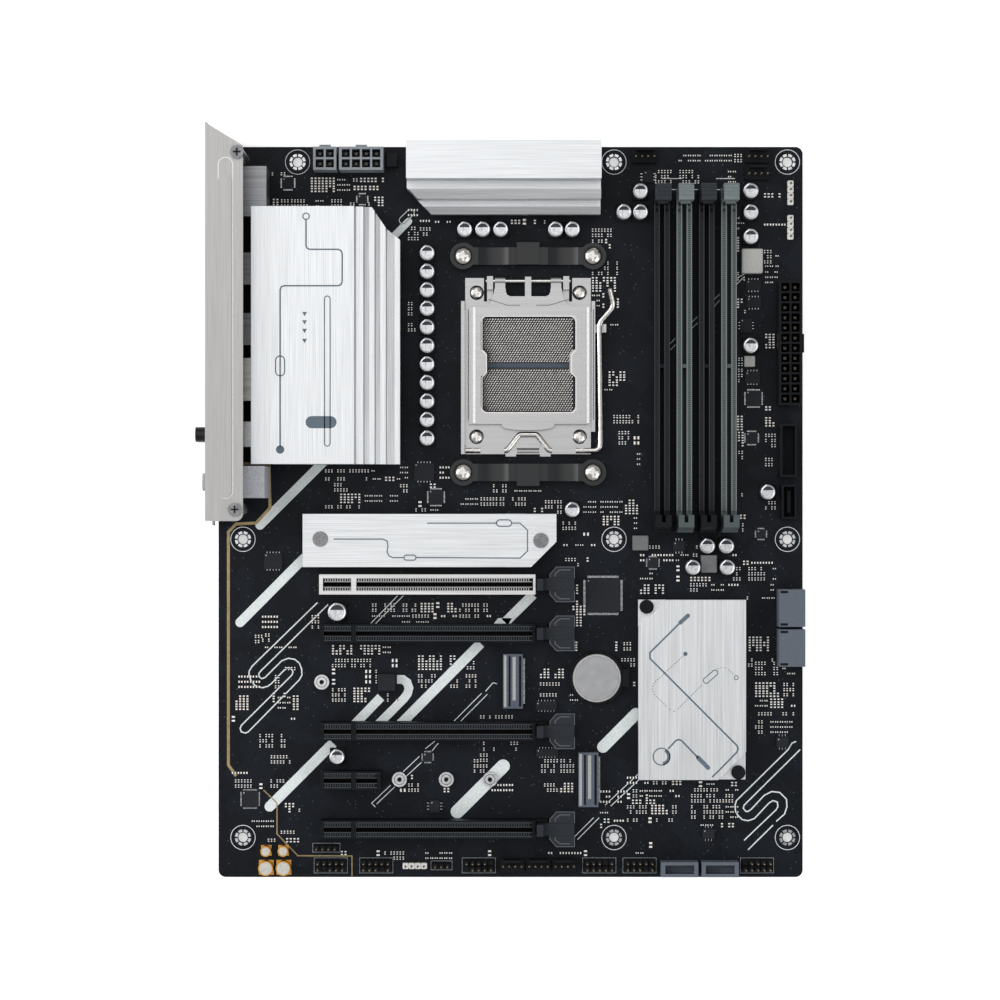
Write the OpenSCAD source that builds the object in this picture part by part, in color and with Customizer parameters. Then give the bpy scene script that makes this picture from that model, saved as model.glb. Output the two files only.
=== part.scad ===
// Desktop computer motherboard of the ATX size, as the assembly that it is: a drilled board, the processor
// socket with its lever and load plate, memory and card slots with their latches, heatsinks, ports and headers.
//
// The origin is the underside of the board at the mounting hole between the ports and the card slots.
// +Z points away from the component side, +X from the port edge to the front edge, +Y up along the port edge.
// Inside on_board() X and Y count from the board's lower left corner, and Z = 0 is the board's top face.

/* [Board] */
// Width of the board, from the port edge to the front edge
board_w = 243.84; // [243.84:0.01:300]
// Length of the board along the port edge
board_l = 304.8; // [304.8:0.01:370]
// Thickness of the board
board_t = 1.6; // [1.2:0.1:2.4]
// Radius of the board's corners
board_corner_r = 3; // [1:0.5:5]
// Diameter of the mounting holes
mount_hole_d = 3.96; // [3.5:0.01:4.5]
// Distance from the mounting holes to the top and front edges
hole_inset = 6.35; // [6:0.05:7]

/* [Port panel] */
// Thickness of the panel's sheet steel
shield_t = 0.8; // [0.5:0.1:1.2]
// Length of the panel
shield_l = 161.8; // [161:0.1:164]
// Height of the panel's top flange above the board
shield_h = 40.4; // [38:0.1:50]
// Width of the top flange, from the panel's outer face
shield_flange = 15.4; // [14:0.1:16.4]
// Gap between a port and its cut-out in the panel
port_gap = 0.3; // [0.2:0.05:0.5]

/* [Processor socket] */
// Width of the socket's housing
socket_w = 45.2; // [44:0.1:45.8]
// Length of the socket's housing
socket_l = 46; // [44:0.1:46.6]
// Height of the socket's housing
socket_h = 3.8; // [3:0.1:4]
// Thickness of the load plate
load_plate_t = 1; // [0.8:0.1:1.3]
// Diameter of the lever's wire
lever_d = 2.2; // [1.8:0.1:2.6]
// Diameter of the hinge wire
hinge_wire_d = 1.6; // [1.2:0.1:2]
// Radial running clearance of the lever and of the load plate's eyes
running_gap = 0.05; // [0.02:0.01:0.1]
// Spacing of the cooler's screws across the socket
cooler_dx = 54; // [54:0.1:60]
// Spacing of the cooler's screws along the socket
cooler_dy = 90; // [90:0.1:95]
// Diameter of the cooler screws' shanks
cooler_screw_d = 3.5; // [3:0.1:4.2]

/* [Slots] */
// Spacing of the memory slots
dimm_pitch = 9.27; // [9.27:0.01:9.6]
// Width of a memory slot
dimm_w = 6.4; // [6:0.1:6.8]
// Height of a memory slot's body
dimm_h = 9.4; // [8:0.1:11]
// Width of a card slot
card_slot_w = 7.5; // [7:0.1:7.8]
// Height of a card slot
card_slot_h = 11.2; // [10:0.1:12]

/* [Heatsinks] */
// Height of the power stage heatsinks above the board
vrm_sink_h = 28.4; // [26:0.1:34.2]
// Height of the chipset heatsink above the board
chipset_sink_h = 7.4; // [6:0.1:12]
// Height of the drive heatsink above the board
drive_sink_h = 10.4; // [9:0.1:12.5]
// Side of a power choke
choke_s = 10; // [9:0.1:10.4]
// Height of a power choke
choke_h = 7; // [6:0.1:7.4]
// Diameter of a polymer capacitor
cap_d = 6.3; // [5:0.1:6.6]
// Height of a polymer capacitor
cap_h = 7.6; // [6:0.1:9]
// Thickness of the coin cell
cell_t = 3.2; // [2:0.1:3.2]

/* [Hidden] */
$fn = 40;

// Reference hole, counted from the board's lower left corner
datum_x = 10.16;
datum_y = 140.97;
middle_hole_x = 165.1;
lower_hole_y = 16.51;
top_hole_x = 33.02;
right_hole_x = board_w - hole_inset;
top_hole_y = board_l - hole_inset;
mount_points = [
    for (x = [datum_x, middle_hole_x, right_hole_x], y = [lower_hole_y, datum_y]) [x, y],
    for (x = [top_hole_x, middle_hole_x, right_hole_x]) [x, top_hole_y]];

// What hangs below the board: backplate, screw heads and solder tails end on one plane
under_board = 2;

// Processor socket, all counted from its centre
socket_x = 129.2;
socket_y = 213.85;
frame_t = 1;
frame_half_w = 26.2;
frame_low_y = -37.35;
frame_high_y = 26.35;
rail_t = 1.5;
rail_gap = 0.2;
lever_y = -35.85;
lever_z = frame_t + 0.5 + lever_d / 2;
plate_z = socket_h + 0.8;
plate_half_w = 24.5;
plate_low_y = -24.85;
plate_high_y = 23.95;
window_w = 39.3;
window_l = 39.8;
hinge_y = 34.75;
hinge_z = 3.4;
hinge_eye_r = hinge_wire_d / 2 + 1.1;
socket_screw_x = 21.5;
socket_screw_y = 30.05;
socket_screw_r = 1.4;
socket_screw_points = [for (x = [-1, 1], y = [-1, 1]) [x * socket_screw_x, y * socket_screw_y]];
cooler_points = [for (x = [-1, 1], y = [-1, 1]) [x * cooler_dx / 2, y * cooler_dy / 2]];
bracket_h = 6;
bracket_half_w = 3.6;
bracket_boss_r = 5.5;
screw_seat = 1;
screw_hole_gap = 0.25;

// Memory slots
dimm_count = 4;
dimm_x0 = socket_x + 55.5;
dimm_low_y = 151.2;
dimm_high_y = 279.5;
card_gap = 1.6;
card_low_y = 148.2;
dimm_tower_h = 26;
dimm_tower_l = 7.2;
dimm_foot_l = 7.4;
latch_pivot_y = 284;
latch_pivot_z = 3.6;
latch_pin_r = 0.9;
cheek_t = 1;
cheek_gap = 0.1;

// Card slots: rows below the drive heatsink, the fourth place holds the short slot
card_pitch = 20.32;
card_slot_l = 89.2;
card_x0 = 43;
card_y0 = 122.4;
long_rows = [0, 1, 3, 5];
short_row = 4;
short_slot_l = 25;
key_x = 13;
key_w = 1.9;
card_trough_y = 1.45;
card_trough_w = 1.1;
clip_pivot_x = card_x0 + card_slot_l + 2.6;
clip_pivot_z = 3.2;

// Ports: lowest y, width along the panel, height
port_x = -1.2;
port_depth = 22.7;
panel_x = -2;
panel_y = 148.8;
display_back = 12.8;
usb_back = 14.8;
display_y = 274;
display_w = 20.6;
display_h = 22;
usb_ys = [246.3, 221.4];
usb_w = 13.2;
usb_h = 15.6;
lan_y = 198.1;
lan_w = 17.5;
lan_h = 25;
wifi_y = 179.2;
wifi_w = 10.3;
wifi_h = 25;
antenna_r = 3.1;
antenna_zs = [8, 19];
audio_y = 158.2;
audio_w = 13;
audio_h = 33;
audio_zs = [5.5, 16.5, 27.5];
audio_bore_r = 1.75;
// Depth of the three jacks, lowest first: each one up reaches a little deeper
audio_depths = [11.1, 11.5, 11.9];
audio_rim_r = 3.6;
button_y = 265.7;
button_z = 4;
button_r = 1.7;
button_stem_r = 1.2;
screw_head_t = 1.5;
panel_posts = [[10.1, 153.5], [11, 298.4]];
panel_screw_r = 1.5;
small_head_r = 2.75;

// Heatsinks and what they cool
vrm_left_y = 172.1;
vrm_left_l = 105.5;
vrm_top_x = 79.1;
vrm_top_l = 80;
vrm_top_y = board_l - 29.2;
sink_under = choke_h + 1;
stage_h = 0.8;
stage_pad_t = 1.2;
left_stage_x = 55;
left_choke_x = 69.5;
left_phase_ys = [for (i = [0:7]) 180 + i * 11.2];
top_stage_y = board_l - 9.8;
top_choke_y = board_l - 22;
top_phase_xs = [for (i = [0:4]) 97 + i * 12];
vrm_posts_left = [[40, 177], [40, 272]];
vrm_posts_top = [[86, board_l - 5.2], [153, board_l - 5.2]];
sink_screw_r = 1.5;
pad_t = 1;
chipset_x = 175;
chipset_y = 41.1;
chipset_w = 44.7;
chipset_l = 74.8;
package_h = 1.8;
package_s = 22;
package_centre = [197.4, 78.5];
chipset_pad_t = 0.7;
push_pin_points = [[178.5, 113], [216.6, 44.1]];
push_pin_r = 1.4;
corner_plate_h = 4.2;
drive_x = 35.7;
drive_y = 129.6;
drive_w = 105.2;
drive_l = 22;
drive_under = 5.5;
drive_screw_points = [[43.1, 141.2], [134.5, 140.6]];
drive_screw_r = 1.2;
m2_socket_h = 4.2;
m2_screw_r = 1;
card_post_points = [[43.2, 81.5], [75.6, 40.9], [95.1, 40.9], [113.3, 40.9]];

// Coin cell
cell_d = 20;
cell_centre = [157.8, 83.2];
cell_seat = 1.2;

// Card edge and front edge fittings
atx_x = board_w - 10.94;
atx_y = 196.7;
cell_pitch = 4.2;
socket_cell = 3.4;
terminal_w = 1.1;
atx_h = 13;

// ---------- shared shapes ----------

module on_board() translate([-datum_x, -datum_y, board_t]) children();

module at(p, z = 0) translate([p.x, p.y, z]) children();

module at_socket() translate([socket_x, socket_y, 0]) children();

module block(x, y, z, w, l, h) translate([x, y, z]) cube([w, l, h]);

// A block centred on a point in plan
module pad(p, w, l, h, z = 0) translate([p.x - w / 2, p.y - l / 2, z]) cube([w, l, h]);

// A rectangle with round corners, its lower left corner at the origin
module round_rect(w, l, r) {
    translate([r, 0]) square([w - 2 * r, l]);
    translate([0, r]) square([w, l - 2 * r]);
    for (x = [r, w - r], y = [r, l - r]) translate([x, y]) circle(r);
}

module centred_round_rect(w, l, r) translate([-w / 2, -l / 2]) round_rect(w, l, r);

module rod(r, z0, z1) translate([0, 0, z0]) cylinder(r = r, h = z1 - z0);

module x_rod(r, x0, x1) translate([x0, 0, 0]) rotate([0, 90, 0]) cylinder(r = r, h = x1 - x0);

module y_rod(r, y0, y1) translate([0, y1, 0]) rotate([90, 0, 0]) cylinder(r = r, h = y1 - y0);

// A profile drawn in (y, z), stretched from x0 to x1
module along_x(x0, x1) translate([x0, 0, 0]) rotate([90, 0, 90]) linear_extrude(x1 - x0) children();

// A profile drawn in (x, z), stretched from y0 to y1
module along_y(y0, y1) translate([0, y1, 0]) rotate([90, 0, 0]) linear_extrude(y1 - y0) children();

// A screw head with a cross recess, its underside at z
module screw_head(r, z, t = screw_head_t) {
    slot_w = r * 0.3;
    slot_l = r * 1.2;
    difference() {
        rod(r, z, z + t);
        translate([0, 0, z + t * 0.4]) for (turn = [0, 90])
            rotate([0, 0, turn]) translate([-slot_l / 2, -slot_w / 2, 0]) cube([slot_l, slot_w, t]);
    }
}

// ---------- round wire, swept along a path ----------

function unit(v) = v / norm(v);

// The path's corner at b, replaced by an arc of radius r
function bend(a, b, c, r, steps = 6) =
    let (u = unit(a - b), v = unit(c - b), half = acos(u * v) / 2,
         reach = r / tan(half), middle = b + unit(u + v) * (r / sin(half)),
         from = b + u * reach - middle, to = b + v * reach - middle, sweep = 180 - 2 * half)
    [for (i = [0:steps]) middle + (from * sin(sweep * (1 - i / steps)) + to * sin(sweep * i / steps)) / sin(sweep)];

function bent_path(points, radii) = [
    points[0],
    for (i = [1:len(points) - 2]) each bend(points[i - 1], points[i], points[i + 1], radii[i - 1]),
    points[len(points) - 1]];

// One ring of the wire's surface, square to the path
function ring(centre, along, r, sides) =
    let (side = unit(cross(along, [0.01, 0.02, 1])), up = cross(side, along))
    [for (k = [0:sides - 1]) centre + r * (cos(360 * k / sides) * side + sin(360 * k / sides) * up)];

module wire(path, r, sides = 16) {
    last = len(path) - 1;
    rings = [for (i = [0:last])
        ring(path[i], unit(path[min(i + 1, last)] - path[max(i - 1, 0)]), r, sides)];
    skin = [for (i = [0:last - 1], k = [0:sides - 1])
        let (a = i * sides, n = (k + 1) % sides) [a + k, a + n, a + sides + n, a + sides + k]];
    start_cap = [[for (k = [0:sides - 1]) sides - 1 - k]];
    end_cap = [[for (k = [0:sides - 1]) last * sides + k]];
    polyhedron([for (row = rings) each row], concat(skin, start_cap, end_cap), convexity = 4);
}

// ---------- board ----------

module pcb() color("#24272d") on_board() translate([0, 0, -board_t]) difference() {
    linear_extrude(board_t) round_rect(board_w, board_l, board_corner_r);
    for (p = mount_points) at(p) rod(mount_hole_d / 2, -1, board_t + 1);
    at_socket() {
        for (p = cooler_points) at(p) rod(cooler_screw_d / 2 + screw_hole_gap, -1, board_t + 1);
        for (p = socket_screw_points) at(p) rod(socket_screw_r + screw_hole_gap, -1, board_t + 1);
    }
    for (p = concat(vrm_posts_left, vrm_posts_top)) at(p) rod(sink_screw_r + screw_hole_gap, -1, board_t + 1);
    for (p = push_pin_points) at(p) rod(push_pin_r, -1, board_t + 1);
}

// ---------- port panel and ports ----------

// Every port's place on the panel: y, z, width and height
port_outlines = [
    [display_y, 0, display_w, display_h],
    for (y = usb_ys) [y, 0, usb_w, usb_h],
    [lan_y, 0, lan_w, lan_h]];

module io_shield() color("#b8b8ba") on_board() {
    difference() {
        block(panel_x, panel_y, -board_t - 0.2, shield_t, shield_l, shield_h + board_t + 0.2);
        for (p = port_outlines)
            block(panel_x - 1, p[0] - port_gap, -port_gap, shield_t + 2, p[2] + 2 * port_gap, p[3] + 2 * port_gap);
        for (z = antenna_zs) translate([0, wifi_y + wifi_w / 2, z])
            x_rod(antenna_r + port_gap, panel_x - 1, panel_x + shield_t + 1);
        for (z = audio_zs) translate([0, audio_y + audio_w / 2, z])
            x_rod(audio_rim_r + port_gap, panel_x - 1, panel_x + shield_t + 1);
        translate([0, button_y, button_z]) x_rod(button_r + port_gap, panel_x - 1, panel_x + shield_t + 1);
    }
    // Feet that hook below the panel's lower end
    block(panel_x, panel_y - 2, 2, shield_t, 2, 6);
}

// Sheet cover screwed down over the ports, on top of the panel
module io_cover() color("#c2c2c4") on_board() {
    top_y = panel_y + shield_l;
    flange_end = panel_x + shield_flange;
    translate([0, 0, shield_h]) difference() {
        linear_extrude(shield_t) polygon([
            [panel_x, panel_y], [flange_end - 3, panel_y],
            for (a = [-75:15:0]) [flange_end - 3 + 3 * cos(a), panel_y + 3 + 3 * sin(a)],
            [flange_end, top_y - 9.6], [panel_x, top_y]]);
        for (p = panel_posts) at(p) rod(panel_screw_r + screw_hole_gap, -1, shield_t + 1);
    }
    // Long raised bead along the flange
    bead_w = 5.6;
    bead_l = 131;
    translate([3.2, panel_y + 9.3, shield_h + shield_t])
        linear_extrude(0.5) round_rect(bead_w, bead_l, bead_w / 2 - 0.01);
}

module shell_block(y, w, h) block(port_x, y, 0, port_depth, w, h);

module display_port_stack() color("#a9abae") on_board() difference() {
    shell_block(display_y, display_w, display_h);
    // Wide socket above, flat socket below
    block(port_x - 1, display_y + 2.1, 13, display_back + 1 - port_x, 16.4, 5.2);
    block(port_x - 1, display_y + 3, 4, display_back + 1 - port_x, 14.6, 4.8);
}

module usb_port_stacks() color("#9b9ea2") on_board() for (y = usb_ys) difference() {
    shell_block(y, usb_w, usb_h);
    for (z = [1.6, 9]) block(port_x - 1, y + 0.6, z, usb_back + 1 - port_x, usb_w - 1.2, 5.2);
}

module lan_usb_stack() color("#a8a9ab") on_board() difference() {
    shell_block(lan_y, lan_w, lan_h);
    for (z = [1.2, 8]) block(port_x - 1, lan_y + 2.75, z, usb_back + 1 - port_x, 12, 5.2);
    block(port_x - 1, lan_y + 2.85, 15, 16, 11.8, 8.6);
}

module wifi_module() color("#b9babd") on_board() shell_block(wifi_y, wifi_w, wifi_h);

module antenna_jacks() color("#1d1f22") on_board() for (z = antenna_zs)
    translate([0, wifi_y + wifi_w / 2, z]) difference() {
        x_rod(antenna_r, port_x - 6.6, port_x);
        x_rod(antenna_r - 0.9, port_x - 7, port_x - 2.6);
    }

module audio_jacks() color("#a3a4a7") on_board() difference() {
    union() {
        block(port_x, audio_y, 0, port_depth, audio_w, audio_h);
        for (z = audio_zs) translate([0, audio_y + audio_w / 2, z]) x_rod(audio_rim_r, port_x - 2.9, port_x + 1);
    }
    for (k = [0:2]) translate([0, audio_y + audio_w / 2, audio_zs[k]])
        x_rod(audio_bore_r, port_x - 3, port_x + audio_depths[k]);
}

module rear_button() color("#2b2d30") on_board() translate([0, button_y, button_z]) {
    x_rod(button_r, panel_x - 1, panel_x + 3.2);
    x_rod(button_stem_r, panel_x + 3.2, panel_x + 6);
}

module rear_button_switch() color("#4a4d52") on_board() difference() {
    block(panel_x + 4.3, button_y - 2.6, 0, 6, 5.2, 6.6);
    translate([0, button_y, button_z]) x_rod(button_stem_r + running_gap, panel_x + 4, panel_x + 8);
}

// Insulating tongues that carry the contacts inside the ports
module port_tongues() color("#23262b") on_board() {
    block(5, display_y + 3.6, 15.1, display_back - 5, 13.4, 1.2);
    block(5, display_y + 4.8, 5.8, display_back - 5, 11, 1.2);
    for (y = usb_ys, z = [3.9, 11.3]) block(3, y + 1.6, z, usb_back - 3, usb_w - 3.2, 1.8);
    for (z = [3.5, 10.3]) block(3, lan_y + 3.75, z, usb_back - 3, 10, 1.8);
}

// ---------- heatsinks ----------

module vrm_heatsink_left() color("#e4e5e7") on_board() {
    wing_t = 2.8;
    flat_x = 57.8;
    end_x = 76.3;
    foot = stage_h + stage_pad_t;
    rib = (vrm_sink_h - 18.4) / 4;
    difference() {
        along_y(vrm_left_y, vrm_left_y + vrm_left_l) polygon([
            [15.7, vrm_sink_h], [15.7, vrm_sink_h - wing_t], [24, vrm_sink_h - wing_t], [24, sink_under],
            [left_stage_x - 5, sink_under], [left_stage_x - 4, foot], [left_stage_x + 4, foot],
            [left_stage_x + 5, sink_under], [end_x, sink_under],
            // Stepped ribs down to the socket's side
            [end_x, vrm_sink_h - 4 * rib], [end_x - 2.2, vrm_sink_h - 4 * rib],
            for (i = [3:-1:1]) each [
                [flat_x + 4.5 * i - 0.3, vrm_sink_h - (i + 0.7) * rib],
                [flat_x + 4.5 * i - 0.8, vrm_sink_h - i * rib],
                [flat_x + 4.5 * i - 3, vrm_sink_h - i * rib]],
            [flat_x + 0.8, vrm_sink_h - rib], [flat_x, vrm_sink_h]]);
        // Bevelled far corner
        corner_y = vrm_left_y + vrm_left_l;
        translate([0, 0, sink_under - 1]) linear_extrude(vrm_sink_h) polygon([
            [64.9, corner_y + 1], [64.9, corner_y], [70.7, corner_y - 8.5], [end_x, corner_y - 13],
            [end_x + 1, corner_y - 13], [end_x + 1, corner_y + 1]]);
    }
    for (p = vrm_posts_left) at(p) sink_post();
}

// Post under a heatsink, tapped for the screw from below
module sink_post() difference() {
    rod(3.2, 0, sink_under);
    rod(sink_screw_r, -1, sink_under - 1);
}

module vrm_heatsink_top() color("#e4e5e7") on_board() {
    y0 = vrm_top_y;
    y1 = board_l;
    foot = stage_h + stage_pad_t;
    difference() {
        along_x(vrm_top_x, vrm_top_x + vrm_top_l) polygon([
            [y0, sink_under], [y0, 12.5], [y0 + 3, 15], [y0 + 3, 11.5], [y0 + 5.7, 11.5], [y0 + 5.7, 21],
            [y0 + 9.6, 23], [y0 + 9.6, 18], [y0 + 13.4, 18], [y0 + 13.4, vrm_sink_h], [y1 - 1.2, vrm_sink_h],
            [y1 - 1.2, vrm_sink_h - 1.2], [y1, vrm_sink_h - 1.2], [y1, sink_under],
            [top_stage_y + 4.6, sink_under], [top_stage_y + 3.6, foot], [top_stage_y - 3.6, foot],
            [top_stage_y - 4.6, sink_under]]);
        // The foot stops short of the end posts
        for (x = [vrm_top_x - 1, vrm_top_x + vrm_top_l - 12]) block(x, y0 - 1, 0, 13, 31, sink_under);
        // Bevelled corner next to the other heatsink
        translate([0, 0, -1]) linear_extrude(vrm_sink_h + 2) polygon([
            [vrm_top_x - 1, y0 - 1], [vrm_top_x + 10, y0 - 1], [vrm_top_x + 10, y0],
            [vrm_top_x, y0 + 10.4], [vrm_top_x - 1, y0 + 10.4]]);
    }
    for (p = vrm_posts_top) at(p) sink_post();
}

// The same small screws hold the heatsinks from below and the port cover from above
module m3_screws() color("#c4c5c7") on_board() {
    for (p = concat(vrm_posts_left, vrm_posts_top)) at(p) {
        translate([0, 0, -board_t]) mirror([0, 0, 1]) screw_head(small_head_r, 0);
        rod(sink_screw_r, -board_t, sink_under - 2);
    }
    for (p = panel_posts) at(p) {
        screw_head(small_head_r, shield_h + shield_t);
        rod(panel_screw_r, shield_h - 6, shield_h + shield_t);
    }
}

module thermal_pads() color("#8f949c") on_board() {
    first = left_phase_ys[0] - choke_s / 2;
    span = left_phase_ys[7] - left_phase_ys[0] + choke_s;
    block(left_stage_x - 3.5, first, stage_h, 7, span, stage_pad_t);
    block(left_choke_x - 5, first, choke_h, 10, span, pad_t);
    top_first = top_phase_xs[0] - choke_s / 2;
    top_span = top_phase_xs[4] - top_phase_xs[0] + choke_s;
    block(top_first, top_stage_y - 3, stage_h, top_span, 6, stage_pad_t);
    block(top_first, top_choke_y - 5, choke_h, top_span, 10, pad_t);
    pad(package_centre, package_s - 2, package_s - 2, chipset_pad_t, package_h);
}

module choke(p) at(p) difference() {
    pad([0, 0], choke_s, choke_s, choke_h);
    // Notches over the two soldered ends
    for (y = [-choke_s / 2, choke_s / 2 - 0.6]) block(-1.5, y - 0.01, -1, 3, 0.62, 2.2);
}

module vrm_chokes() color("#5d6167") on_board() {
    for (y = left_phase_ys) choke([left_choke_x, y]);
    for (x = top_phase_xs) choke([x, top_choke_y]);
}

module vrm_power_stages() color("#17181b") on_board() {
    for (y = left_phase_ys) pad([left_stage_x, y], 6, 5, stage_h);
    for (x = top_phase_xs) pad([x, top_stage_y], 5, 6, stage_h);
}

module chipset_heatsink() color("#e2e3e5") on_board() {
    x1 = chipset_x + chipset_w;
    y1 = chipset_y + chipset_l;
    base = package_h + chipset_pad_t;
    difference() {
        translate([0, 0, base]) linear_extrude(chipset_sink_h - base)
            translate([chipset_x, chipset_y]) square([chipset_w, chipset_l]);
        // Corners cut down to the thin ears that the push pins hold
        translate([0, 0, corner_plate_h]) linear_extrude(chipset_sink_h) {
            polygon([[chipset_x - 1, y1 + 1], [chipset_x - 1, y1 - 12.1], [chipset_x + 12.7, y1 + 1]]);
            polygon([[x1 + 1, chipset_y - 1], [x1 + 1, chipset_y + 12.6], [x1 - 12.6, chipset_y - 1]]);
        }
        for (p = push_pin_points) at(p) rod(push_pin_r, 0, chipset_sink_h);
    }
}

module chipset_push_pins() color("#1b1c1f") on_board() for (p = push_pin_points) at(p) {
    rod(2.9, corner_plate_h, corner_plate_h + 2.2);
    rod(push_pin_r, -board_t, corner_plate_h);
    rod(push_pin_r + 0.5, -board_t - 1.2, -board_t);
}

module m2_heatsink() color("#e4e5e7") on_board() {
    x1 = drive_x + drive_w;
    difference() {
        translate([0, 0, drive_under]) linear_extrude(drive_sink_h - drive_under) polygon([
            [drive_x, drive_y], [x1 - 10.5, drive_y], [x1, drive_y + 10.5], [x1, drive_y + drive_l],
            [drive_x, drive_y + drive_l]]);
        for (p = drive_screw_points) at(p) {
            rod(drive_screw_r, 0, drive_sink_h);
            rod(3.3, drive_sink_h - 1.6, drive_sink_h + 1);
        }
    }
}

module m2_heatsink_screws() color("#d8d9db") on_board() for (p = drive_screw_points) at(p) {
    screw_head(3, drive_sink_h - 1.6);
    rod(drive_screw_r, drive_under - 3, drive_sink_h - 1.6);
}

module m2_thermal_pad() color("#9aa0a8") on_board()
    block(drive_x + 12, drive_y + 2, drive_under - 0.8, 62, drive_l - 4, 0.8);

// Posts for the port panel, the drive heatsink and the drive cards
module threaded_standoffs() color("#c4c5c8") on_board() {
    for (p = panel_posts) at(p) difference() {
        rod(2.5, 0, shield_h);
        rod(panel_screw_r, shield_h - 7, shield_h + 1);
    }
    for (p = drive_screw_points) at(p) difference() {
        rod(2.6, 0, drive_under);
        rod(drive_screw_r + running_gap, 1, drive_under + 1);
    }
    for (p = card_post_points) at(p) difference() {
        rod(3.1, 0, 2.6);
        rod(m2_screw_r, 0.6, 3);
    }
}
// ---------- processor socket ----------

module cpu_socket_body() color("#1f2a38") on_board() at_socket() difference() {
    linear_extrude(socket_h) centred_round_rect(socket_w, socket_l, 1);
    translate([0, 0, 1.7]) linear_extrude(socket_h) centred_round_rect(socket_w - 3.4, socket_l - 3.2, 0.8);
}

module cpu_contacts() color("#8d8178") on_board() at_socket() {
    block(-19.2, 0.8, 1.7, 38.4, 18.8, 0.6);
    block(-19.2, -19.6, 1.7, 38.4, 18.2, 0.6);
}

module socket_frame() color("#b4b6ba") on_board() at_socket() {
    corner_in = 18.4;
    difference() {
        union() {
            block(-frame_half_w, frame_low_y, 0, 2 * frame_half_w, frame_high_y - frame_low_y, frame_t);
            for (side = [0, 1]) mirror([side, 0, 0]) {
                block(corner_in, frame_high_y, 0, frame_half_w - corner_in, 9.8, frame_t);
                // Ear that holds the hinge wire
                block(14.6, frame_high_y, 0, 2.5, hinge_y + 1.9 - frame_high_y, frame_t);
                block(14.6, hinge_y - 3.6, 0, 2.5, 5.5, hinge_z + 1.7);
                // Folded bearing over the lever's shaft
                block(10, frame_low_y, 0, 9.8, 3.2, lever_z + lever_d / 2 + 0.7);
                block(5, frame_low_y - 0.95, 0, 4.4, 1, frame_t);
            }
            // Lip between the lever's crank arms
            block(-4.6, frame_low_y, 0, 9.2, 4.4, 2.2);
        }
        translate([0, 0, -1]) linear_extrude(frame_t + 2)
            centred_round_rect(socket_w + 0.8, socket_l + 0.6, 1.2);
        for (p = socket_screw_points) at(p) rod(socket_screw_r + screw_hole_gap, -1, frame_t + 1);
        translate([0, lever_y, lever_z]) x_rod(lever_d / 2 + running_gap, -frame_half_w - 1, frame_half_w + 1);
        translate([0, hinge_y, hinge_z]) x_rod(hinge_wire_d / 2, -18, 18);
    }
    block(-frame_half_w - rail_gap - rail_t, frame_low_y, 0, rail_t, frame_high_y - frame_low_y, 4.6);
    block(-frame_half_w - rail_gap, frame_low_y + 4, 0, rail_gap, 56, frame_t);
    block(frame_half_w + rail_gap, frame_low_y + 9.3, 0, rail_t, frame_high_y - frame_low_y - 9.3, 4.6);
    block(frame_half_w, frame_low_y + 9.3, 0, rail_gap, 50, frame_t);
    // Hook beside the lever
    hook_x = frame_half_w + rail_gap + rail_t;
    block(hook_x, 13.3, 1.6, 4.6, 3.4, 0.7);
    block(hook_x + 3.5, 13.3, 1.6, 1.1, 3.4, 3.6);
}

load_half_outline = [
    [plate_half_w, plate_low_y], [plate_half_w, plate_high_y], [18.2, plate_high_y],
    [16.4, plate_high_y + 0.8], [15.2, plate_high_y + 2.6], [14.4, plate_high_y + 5.4], [13.9, 31.6],
    [9.4, 31.6], [9.2, 30], [8.6, 28.8], [7.4, 28.25], [1.3, 28.25]];

module load_plate() color("#b9bbbd") on_board() at_socket() difference() {
    union() {
        translate([0, 0, plate_z]) linear_extrude(load_plate_t) difference() {
            polygon([
                [plate_half_w, plate_low_y],
                for (i = [1:len(load_half_outline) - 1]) load_half_outline[i],
                [1.3, 36.4], [-1.3, 36.4],
                for (i = [len(load_half_outline) - 1:-1:0]) [-load_half_outline[i].x, load_half_outline[i].y],
                [-13.5, plate_low_y], for (a = [0:10:180]) [-11 * cos(a), plate_low_y - 2.6 * sin(a) ^ 0.6],
                [13.5, plate_low_y]]);
            load_window();
        }
        for (side = [0, 1]) mirror([side, 0, 0]) {
            // Stiffening bead beside the window
            block(plate_half_w - 2.2, plate_low_y + 1, plate_z, 1.6, 46, load_plate_t + 0.5);
            // Eye on the hinge wire
            translate([0, hinge_y, hinge_z]) x_rod(hinge_eye_r, 9.5, 13.8);
            block(9.5, 30, plate_z - 0.6, 4.3, 4.4, 1);
        }
    }
    translate([0, hinge_y, hinge_z]) x_rod(hinge_wire_d / 2 + running_gap, -15, 15);
}

// The window over the contacts, with a guide tab on either side
module load_window() difference() {
    centred_round_rect(window_w, window_l, 2.7);
    for (side = [-1, 1]) polygon([for (p = [[1, 6.2], [-0.9, 5.6], [-2.4, 4.2], [-2.4, -3.6], [-0.9, -5], [1, -5.6]])
        [side * (window_w / 2 + p.x), p.y + 0.3]]);
}

lever_points = [
    [-26, lever_y, lever_z], [-8.9, lever_y, lever_z], [-3.7, -29.15, lever_z], [3.7, -29.15, lever_z],
    [8.9, lever_y, lever_z], [30.2, lever_y, lever_z], [29.6, 17.2, lever_z + 1.9],
    [35.6, 23.9, lever_z + 4.2], [33.8, 31.2, lever_z + 5.8]];
lever_bends = [1.8, 1.8, 1.8, 1.8, 2.8, 5, 4];

module load_lever() color("#d9d6d2") on_board() at_socket()
    wire(bent_path(lever_points, lever_bends), lever_d / 2);

module hinge_wire() color("#d2d3d5") on_board() at_socket()
    translate([0, hinge_y, hinge_z]) x_rod(hinge_wire_d / 2, -17.6, 17.6);

module socket_screws() color("#cfd0d2") on_board() at_socket() for (p = socket_screw_points) at(p) {
    screw_head(3.1, frame_t, 2);
    rod(socket_screw_r, -board_t - under_board, frame_t);
}

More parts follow.
